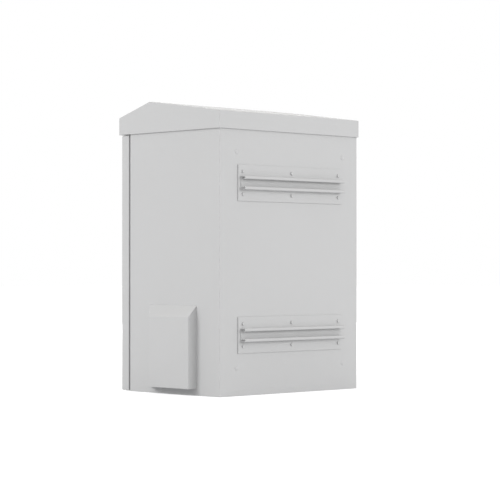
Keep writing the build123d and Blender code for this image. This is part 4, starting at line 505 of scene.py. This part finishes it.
def moulded(name, pale, worn, grain, roughness, wear, gloss=0.45):
    """A moulding with a sparked grain, dust on what lies level and a rubbed colour on its edges."""
    material, shader, surface = new_finish(name, Specular_IOR_Level=gloss)
    skin = shader.group(SKIN, Peel=grain, Sand=3.2 * grain, Share=0.45)
    edges = shader.group(RUB, Reach=0.4 * MM, Breakup=300.0, Amount=wear)
    dust = shader.group(SETTLED, Amount=0.18, Patches=14.0)["Mask"]
    mottle = shader.reckon("MULTIPLY", skin["Mottle"], 0.35)
    colour = shader.blend(mottle, pale, worn)
    colour = shader.blend(edges["Mask"], colour, worn)
    shader.feed(surface["Base Color"], shader.blend(dust, colour, DUST))
    rough = shader.span(skin["Height"], GRAIN_BAND, to=(roughness, roughness + MOULDED_SPREAD))
    shader.feed(surface["Roughness"], rough)
    normal = shader.raised(skin["Height"], 0.03 * MM, 0.6, edges["Rounded Normal"])
    shader.feed(surface["Normal"], normal)
    return material


def filter_paper():
    """Cream filter paper, greyed where the air has gone through it."""
    material, shader, surface = new_finish(
        "filter_paper", Specular_IOR_Level=0.2, Sheen_Weight=0.15
    )
    mat = shader.group(FIBRES, Fibres=800.0)["Height"]
    clouds = shader.noise(shader.place(), scale=45.0, detail=4.0, roughness=0.6)
    grey = shader.span(clouds, (0.35, 0.75))
    shader.feed(surface["Base Color"], shader.blend(grey, PAPER_CREAM, PAPER_GREY))
    shader.feed(surface["Roughness"], shader.span(mat, (0.3, 0.8), to=(0.82, 0.95)))
    shader.feed(surface["Normal"], shader.raised(mat, 0.12 * MM, 0.8))
    return material


FINISHES = {
    "cabinet_paint": cabinet_paint(),
    "painted_bolt": painted_bolt(),
    "zinc_steel": zinc_steel(),
    "bright_steel": bright_steel(),
    "brass": drawn_brass(),
    "filter_paper": filter_paper(),
    "black_rubber": moulded(
        "black_rubber", RUBBER_BLACK, RUBBER_BLOOM, 500.0, roughness=0.62, wear=0.5, gloss=0.3
    ),
    "black_plastic": moulded(
        "black_plastic", MOULDED_BLACK, MOULDED_WORN, 900.0, roughness=0.44, wear=0.4
    ),
    "grey_plastic": moulded(
        "grey_plastic", PLUG_GREY, PAINT_SHADE, 900.0, roughness=0.46, wear=0.3
    ),
    "pale_plastic": moulded(
        "pale_plastic", HOUSING_PALE, HOUSING_SHADE, 1000.0, roughness=0.36, wear=0.3
    ),
    "terminal_plastic": moulded(
        "terminal_plastic", TERMINAL_GREY, TERMINAL_SHADE, 1000.0, roughness=0.40, wear=0.3
    ),
    "black_casting": moulded(
        "black_casting", CASTING_BLACK, CASTING_WORN, 420.0, roughness=0.40, wear=0.9
    ),
}

for name, slot in SLOTS.items():
    node = frame["nodes"][name]
    node.data.materials.clear()
    node.data.materials.append(FINISHES[slot])


def solids_of(node):
    """The lowest and highest corner of each separate solid of a CAD node.

    Points at one place count as one, each starts with its own number, and every triangle gives
    its points the lowest of their numbers until none changes.
    """
    mesh = frame["nodes"][node].data
    points = np.empty(len(mesh.vertices) * 3)
    mesh.vertices.foreach_get("co", points)
    mesh.calc_loop_triangles()
    corners = np.empty(len(mesh.loop_triangles) * 3, dtype=int)
    mesh.loop_triangles.foreach_get("vertices", corners)
    steps = np.round(points.reshape(-1, 3) / SAME_PLACE).astype(int)
    places, number = np.unique(steps, axis=0, return_inverse=True)
    triangles = number.reshape(-1)[corners].reshape(-1, 3)
    label = np.arange(len(places))
    while True:
        lowest = label[triangles].min(axis=1)
        spread = label.copy()
        np.minimum.at(spread, triangles.reshape(-1), np.repeat(lowest, 3))
        if np.array_equal(spread, label):
            break
        label = spread
    solids = [places[label == one] * SAME_PLACE for one in np.unique(label)]
    return [(solid.min(axis=0), solid.max(axis=0)) for solid in solids]


def flats_of(corner):
    """The distance of a hexagon's flats, from that of its corners."""
    return corner * math.cos(TURN / 12)


def chamfer_of(corner):
    """How far a hexagon's chamfer falls from its flat top to its corners."""
    return CHAMFER_FALL * (corner - CROWN_EDGE * flats_of(corner))


def hexagon_radius(angle, corner):
    """The distance of a hexagon at an angle.

    It is its flat's distance over the cosine of the angle from that flat's middle.
    """
    return flats_of(corner) / np.cos(angle % (TURN / 6) - TURN / 12)


def turned(rows, corner=None):
    """Rows of radius and height carried round the axis.

    With a corner radius, each radius is cut back to the hexagon's at that angle, so that a cone
    meets the flats in the curves that a real chamfer has.
    """
    angle = np.arange(AROUND) / AROUND * TURN
    radius, height = (np.array(column, dtype=float)[:, None] for column in zip(*rows))
    radius = np.broadcast_to(radius, (len(rows), AROUND))
    if corner is not None:
        radius = np.minimum(radius, hexagon_radius(angle, corner))
    return np.stack([radius * np.cos(angle), radius * np.sin(angle), height + 0 * radius], axis=-1)


def shank(radius, length, pitch, thread):
    """A shank below height 0, threaded over the last part of its length, with a chamfered end.

    The radius falls by a triangle wave of the height over the pitch less the share of a turn, so
    that the wave climbs one pitch a turn. It fades in over the first pitch of the thread, and a
    cone cuts the last.
    """
    angle = np.arange(AROUND) / AROUND * TURN
    top = thread - length
    height = np.linspace(top, -length, int(thread / pitch * PITCH_ROWS))[:, None]
    wave = np.abs((height / pitch - angle / TURN) % 1 - 0.5) * 2
    fade = np.clip((top - height) / pitch, 0, 1)
    cone = radius - THREAD_DEPTH * pitch * np.clip(1 - (height + length) / pitch, 0, 1)
    reach = np.minimum(radius - THREAD_DEPTH * pitch * wave * fade, cone)
    screw = np.stack([reach * np.cos(angle), reach * np.sin(angle), height + 0 * angle], axis=-1)
    return np.concatenate([turned([(0, SINK), (radius, SINK)]), screw, turned([(0, -length)])])


def hexagon_head(corner, head):
    """A head above height 0: a chamfered crown, six flats and a washer face."""
    flat = flats_of(corner)
    crown = [(0, head), (CROWN_RING * flat, head), (CROWN_EDGE * flat, head)]
    sides = [(corner, head - chamfer_of(corner)), (corner, WASHER_FACE)]
    washer = [(WASHER_EDGE * flat, WASHER_FACE), (WASHER_EDGE * flat, 0), (0, 0)]
    return turned(crown + sides + washer, corner)


def hexagon_nut(corner, thickness, bore):
    """A nut above height 0: chamfered on both faces, with a countersunk bore."""
    edge = CROWN_EDGE * flats_of(corner)
    fall = chamfer_of(corner)
    sunk = COUNTERSINK * bore
    upper = [(bore, sunk), (bore, thickness - sunk), (bore + sunk, thickness), (edge, thickness)]
    sides = [(corner, thickness - fall), (corner, fall)]
    lower = [(edge, 0), (bore + sunk, 0), (bore, sunk)]
    return turned(upper + sides + lower, corner)


def driven_head(radius, head, arms, reach):
    """A low domed head above height 0 with a slot, of two arms, or a cross, of four.

    The dome is a quarter ellipse in section. Angles run in bands, one inside each arm and one
    between each two, and a band's limit is the arc sine of the arm's half width over the distance
    from the axis, so that it keeps to the arm's straight edge. Points inside an arm and nearer
    than its reach are let down. Each edge has two points at one place, one up and one down, so
    the recess has upright walls.
    """
    # Points along an arm, past it, across it, and from it to the next
    along, beyond, across, between = 9, 7, 5, 9
    share = np.concatenate([np.linspace(0, reach, along), np.linspace(reach, 1, beyond)])[:, None]
    sunk_row = np.concatenate([np.ones(along), np.full(beyond, float(reach == 1))])[:, None]
    sweep = TURN / arms
    half = np.arcsin(np.minimum(ARM_HALF_WIDTH / np.maximum(share, NEAR_AXIS), 1))
    edge = np.minimum(half, sweep / 2)
    bands, sunk_band = [], []
    for arm in range(arms):
        bands.append(arm * sweep + np.linspace(-1, 1, across) * edge)
        bands.append((arm + 0.5) * sweep + np.linspace(-1, 1, between) * (sweep / 2 - edge))
        sunk_band += [np.ones(across), np.zeros(between)]
    angle = np.concatenate(bands, axis=1)
    sunk = sunk_row * np.concatenate(sunk_band)
    dome = head * (HEAD_RIM + (1 - HEAD_RIM) * np.sqrt(np.clip(1 - share**2, 0, 1)))
    height = np.where(sunk > 0, RECESS_FLOOR * head, dome + 0 * angle)
    reached = share * radius + 0 * angle
    rim = angle[-1]
    low = np.stack([radius * np.cos(rim), radius * np.sin(rim), 0 * rim], axis=-1)
    top = np.stack([reached * np.cos(angle), reached * np.sin(angle), height], axis=-1)
    return np.concatenate([top, low[None], 0 * low[None]])


def domed_pin(radius, head, shaft, length):
    """A turned pin: a domed head above height 0, and a shaft with a chamfered end.

    The dome is a quarter ellipse in section, and stands on a rounded rim.
    """
    lean = np.linspace(0, TURN / 4, PIN_ROWS)
    dome = list(zip(radius * np.sin(lean), head * (PIN_RIM + (1 - PIN_RIM) * np.cos(lean))))
    rim = [(radius, PIN_ROUNDING * head), (PIN_UNDERSIDE * radius, 0)]
    tip_radius, tip_length = (share * shaft for share in PIN_TIP)
    tip = [(shaft, tip_length - length), (tip_radius, -length), (0, -length)]
    return turned(dome + rim + [(shaft, 0)] + tip)


def weld_bead(start, end):
    """A bead between two points: a circle carried along the line.

    Its radius swells and shrinks with a rectified sine of the distance over the ripple, and
    rounds off to nothing at both ends.
    """
    start, end = np.array(start), np.array(end)
    length = np.linalg.norm(end - start)
    along = np.linspace(0, 1, int(length / WELD_RIPPLE * RIPPLE_ROWS))[:, None]
    near_end = np.clip(np.minimum(along, 1 - along) * length / WELD_RADIUS, 0, 1)
    rounding = np.sqrt(1 - (1 - near_end) ** 2)
    wave = np.abs(np.sin(math.pi * along * length / WELD_RIPPLE))
    ripple = RIPPLE_LOW + (1 - RIPPLE_LOW) * wave
    girth = (WELD_RADIUS * rounding * ripple)[:, :, None]
    direction = (end - start) / length
    side = np.cross(direction, ASKEW)
    side /= np.linalg.norm(side)
    angle = np.arange(BEAD_AROUND)[:, None] / BEAD_AROUND * TURN
    ring = np.cos(angle) * side + np.sin(angle) * np.cross(direction, side)
    return start + along[:, :, None] * (end - start) + girth * ring


def stood(grid, seat, axis, sign):
    """The grid turned so that its own +Z points along an axis of the frame, moved to its seat."""
    order = {0: (2, 0, 1), 1: (0, 2, 1), 2: (0, 1, 2)}[axis]
    placed = grid[..., order].copy()
    placed[..., axis] *= sign
    return placed + np.array(seat)


def piece(name, grids, beside, finish=None, stands_for=False):
    """One mesh of closed grids, which moves with a CAD node, and may stand for it.

    The points of a row wrap round to its first, each row joins the next, and points at one place
    become one.
    """
    corners, faces, first = [], [], 0
    for grid in grids:
        rows, around = grid.shape[:2]
        number = first + np.arange(rows * around).reshape(rows, around)
        after = np.roll(number, -1, axis=1)
        corners.append(grid.reshape(-1, 3))
        squares = np.stack([number[:-1], after[:-1], after[1:], number[1:]], axis=-1)
        faces.append(squares.reshape(-1, 4))
        first += rows * around
    mesh = bpy.data.meshes.new(name)
    mesh.from_pydata(np.concatenate(corners), [], np.concatenate(faces))
    build = bmesh.new()
    build.from_mesh(mesh)
    bmesh.ops.remove_doubles(build, verts=build.verts, dist=MERGE)
    bmesh.ops.recalc_face_normals(build, faces=build.faces)
    build.to_mesh(mesh)
    build.free()
    mesh.shade_smooth()
    mesh.set_sharp_from_angle(angle=SHARP_ANGLE)
    made = bpy.data.objects.new(name, mesh)
    bpy.context.collection.objects.link(made)
    finish = finish or SLOTS[beside]
    mesh.materials.append(FINISHES[finish])
    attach(made, BODIES[beside])
    if stands_for:
        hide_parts(beside)


def fasten(node, way, shape):
    """Make a node's fasteners anew: one shape, stood at the seat of each of its solids.

    way is the way that a head faces, or gives it from a solid's two corners. shape gives one
    fastener's grids and the height of its head, from its length and its radius across corners.
    """
    grids = []
    for low, high in solids_of(node):
        axis, sign = way(low, high) if callable(way) else way
        size = high - low
        parts, head = shape(size[axis], np.delete(size, axis).max() / 2)
        seat = (low + high) / 2
        seat[axis] = high[axis] - head if sign > 0 else low[axis] + head
        grids += [stood(grid, seat, axis, sign) for grid in parts]
    piece(node + "_turned", grids, node, stands_for=True)


def bolt(head, radius, pitch, thread):
    """The shape of a hexagon bolt."""

    def shape(size, corner):
        length = size - head
        return [hexagon_head(corner, head), shank(radius, length, pitch, min(thread, length))], head

    return shape


def nut(radius):
    """The shape of a hexagon nut on a thread of this radius."""
    return lambda size, corner: ([hexagon_nut(corner, size, BORE_FIT * radius)], size)


def cross_screw(head, radius, pitch):
    """The shape of a low domed screw with a cross in its head."""

    def shape(size, rim):
        screw = shank(radius, size - head, pitch, SCREW_THREAD)
        return [driven_head(rim, head, *CROSS), screw], head

    return shape


def rail_bolt(size, corner):
    """A bolt and its nut, whose far ends are flush."""
    far_nut = hexagon_nut(corner, RAIL_NUT, BORE_FIT * M6_RADIUS) + (0, 0, M6_HEAD - size)
    screw = shank(M6_RADIUS, size - M6_HEAD, M6_PITCH, RAIL_NUT)
    return [hexagon_head(corner, M6_HEAD), far_nut, screw], M6_HEAD


def stud(size, collar):
    """A welded stud: a chamfered collar, whose length is its head, and a thread past it."""
    edge = [(collar, COLLAR_CHAMFER), (collar - COLLAR_CHAMFER, 0)]
    sleeve = turned([(0, STUD_COLLAR), (collar, STUD_COLLAR), *edge, (0, 0)])
    length = size - STUD_COLLAR
    return [sleeve, shank(M8_RADIUS, length, M8_PITCH, length)], STUD_COLLAR


def hinge_pin(size, rim):
    """The shape of a hinge pin."""
    return [domed_pin(rim, PIN_HEAD, PIN_RADIUS, size - PIN_HEAD)], PIN_HEAD


# Bolts, nuts, studs, screws and pins, each where its plainer CAD solid is
fasten("bracket_bolts", REARWARD, bolt(M6_HEAD, M6_RADIUS, M6_PITCH, thread=12 * MM))
fasten("roof_bolts", DOWNWARD, bolt(ROOF_HEAD, M8_RADIUS, M8_PITCH, thread=3 * MM))
fasten(
    "sheet_screws",
    lambda low, high: UPWARD if high[2] < GLAND_SCREW_TOP else LEFTWARD,
    bolt(M5_HEAD, M5_RADIUS, M5_PITCH, thread=4 * MM),
)
fasten("rail_bolts", lambda low, high: (0, -np.sign(high[0])), rail_bolt)
fasten("panel_studs", REARWARD, stud)
fasten("bracket_nuts", FORWARD, nut(M6_RADIUS))
fasten("panel_nuts", FORWARD, nut(M8_RADIUS))
fasten("cam_nut", FORWARD, nut(SPINDLE_RADIUS))
fasten("fan_screws", LEFTWARD, cross_screw(PAN_HEAD, M4_RADIUS, M4_PITCH))
fasten("escutcheon_screws", FORWARD, cross_screw(ESCUTCHEON_HEAD, M5_RADIUS, M5_PITCH))
fasten("hinge_pins", UPWARD, hinge_pin)

# Screws in the wells of the breaker, along the terminal block and through the earth bar
low, high = (np.array(corner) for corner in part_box("circuit_breaker"))
middle = (low + high) / 2
seats = [
    (middle[0] + side * WELL_SIDE, low[1] + WELL_FLOOR, middle[2] + level * WELL_RISE)
    for side in (-1, 1)
    for level in (-1, 1)
]
screw = driven_head(*WELL_SCREW, *CROSS)
screws = [stood(screw, seat, *FORWARD) for seat in seats]
piece("breaker_screws", screws, "circuit_breaker", "bright_steel")

low, high = (np.array(corner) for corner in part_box("terminal_block"))
middle = (low + high) / 2
poles = low[0] + (np.arange(TERMINAL_POLES) + 0.5) * (high[0] - low[0]) / TERMINAL_POLES
seats = [(x, low[1], middle[2] + row * TERMINAL_ROW) for x in poles for row in (-1, 1)]
screw = driven_head(*TERMINAL_SCREW, *SLIT)
screws = [stood(screw, seat, *FORWARD) for seat in seats]
piece("terminal_screws", screws, "terminal_block", "bright_steel")

low, high = (np.array(corner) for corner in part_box("earth_bar"))
middle = (low + high) / 2
holes = low[0] + (np.arange(EARTH_HOLES) + 1) * (high[0] - low[0]) / (EARTH_HOLES + 1)
parts = [
    driven_head(*EARTH_SCREW, *SLIT),
    shank(EARTH_SHANK_RADIUS, EARTH_SHANK_LENGTH, M6_PITCH, EARTH_SHANK_LENGTH),
]
screws = [stood(part, (x, low[1], middle[2]), *FORWARD) for part in parts for x in holes]
piece("earth_bar_screws", screws, "earth_bar")

# Beads of weld round the hinge leaves and the feet of the rail brackets, and along the struts
for level in ("lower", "upper"):
    for node in (f"hinge_body_leaf_{level}", f"hinge_door_leaf_{level}"):
        low, high = (np.array(corner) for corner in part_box(node))
        x = high[0]
        edge, inward = (high[1], -1) if "body" in node else (low[1], 1)
        near, far = edge + inward * LEAF_INSET, edge + inward * LEAF_RUN
        beads = [weld_bead((x, edge, low[2] + LEAF_INSET), (x, edge, high[2] - LEAF_INSET))]
        beads += [weld_bead((x, near, z), (x, far, z)) for z in (low[2], high[2])]
        piece(node.replace("leaf", "weld"), beads, node)
    for hand in ("left", "right"):
        node = f"rail_bracket_{level}_{hand}"
        low, high = (np.array(corner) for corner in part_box(node))
        x = low[0] if hand == "left" else high[0]
        bottom, top = low[2] + BRACKET_INSET, high[2] - BRACKET_INSET
        front, back = low[1] + BRACKET_FRONT, high[1] - BRACKET_BACK
        beads = [weld_bead((x, high[1], bottom), (x, high[1], top))]
        beads += [weld_bead((x, front, z), (x, back, z)) for z in (low[2], high[2])]
        piece(node.replace("bracket", "weld"), beads, node)
    node = f"{level}_strut_channel"
    low, high = (np.array(corner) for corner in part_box(node))
    y = low[1] + STITCH_SINK
    last = high[0] - STITCH_MARGIN - STITCH_LENGTH
    beads = [
        weld_bead((x, y, z), (x + STITCH_LENGTH, y, z))
        for z in (low[2] + STITCH_STAND, high[2] - STITCH_STAND)
        for x in np.linspace(low[0] + STITCH_MARGIN, last, STITCHES)
    ]
    piece(f"{level}_strut_weld", beads, node)


def seen(shader):
    """1 for what is seen directly, in a gleam or through something clear, and 0 for lighting."""
    path = shader.node("ShaderNodeLightPath").outputs
    either = shader.reckon("MAXIMUM", path["Is Camera Ray"], path["Is Glossy Ray"])
    return shader.reckon("MAXIMUM", either, path["Is Transmission Ray"])


def lay_floor():
    """A level floor, which looks white and keeps the object's shadow."""
    floor = bpy.data.meshes.new("floor")
    edge = FLOOR_EDGE
    corners = [(-edge, -edge, 0), (edge, -edge, 0), (edge, edge, 0), (-edge, edge, 0)]
    floor.from_pydata(corners, [], [(0, 1, 2, 3)])
    floor = bpy.data.objects.new("floor", floor)
    bpy.context.collection.objects.link(floor)
    floor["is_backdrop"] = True
    material, shader, surface = new_finish(
        "floor", Roughness=0.9, Specular_IOR_Level=0.1, Emission_Color=WHITE
    )
    grain = shader.span(shader.noise(shader.place(), scale=40.0, detail=3.0), GRAIN_BAND)
    shader.feed(surface["Base Color"], shader.blend(grain, FLOOR_PALE, FLOOR_SHADE))
    glow = shader.reckon("MULTIPLY", seen(shader), FLOOR_GLOW)
    shader.feed(surface["Emission Strength"], glow)
    floor.data.materials.append(material)


def raise_sky():
    """A sky that looks white, and lights the object with an even grey."""
    world = bpy.data.worlds.new("sky")
    bpy.context.scene.world = world
    world.use_nodes = True
    shader = Shader(world.node_tree)
    background = world.node_tree.nodes["Background"].inputs
    background["Color"].default_value = WHITE
    shader.feed(background["Strength"], shader.mix(seen(shader), SKY_LIGHT, 1.0))


def hang_lamps():
    """Three large soft lamps: one that lights each wall in view, and one for the door."""
    for name, (place, diameter, power) in LAMPS.items():
        lamp = bpy.data.lights.new(name, "AREA")
        lamp.shape = "DISK"
        lamp.size = diameter
        lamp.energy = power
        lamp = bpy.data.objects.new(name, lamp)
        bpy.context.collection.objects.link(lamp)
        lamp.location = place
        lamp.rotation_euler = (LAMP_AIM - Vector(place)).to_track_quat("-Z", "Y").to_euler()


def set_camera():
    """The camera at the photograph's viewpoint, with plain colours."""
    camera = bpy.data.cameras.new("camera")
    camera.lens = CAMERA_LENS
    camera.sensor_width = CAMERA_SENSOR
    camera = bpy.data.objects.new("camera", camera)
    bpy.context.collection.objects.link(camera)
    camera.location = CAMERA_PLACE
    camera.rotation_euler = CAMERA_AIM.to_track_quat("-Z", "Y").to_euler()
    bpy.context.scene.camera = camera
    bpy.context.scene.view_settings.view_transform = "Standard"


lay_floor()
raise_sky()
hang_lamps()
set_camera()

low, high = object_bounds()
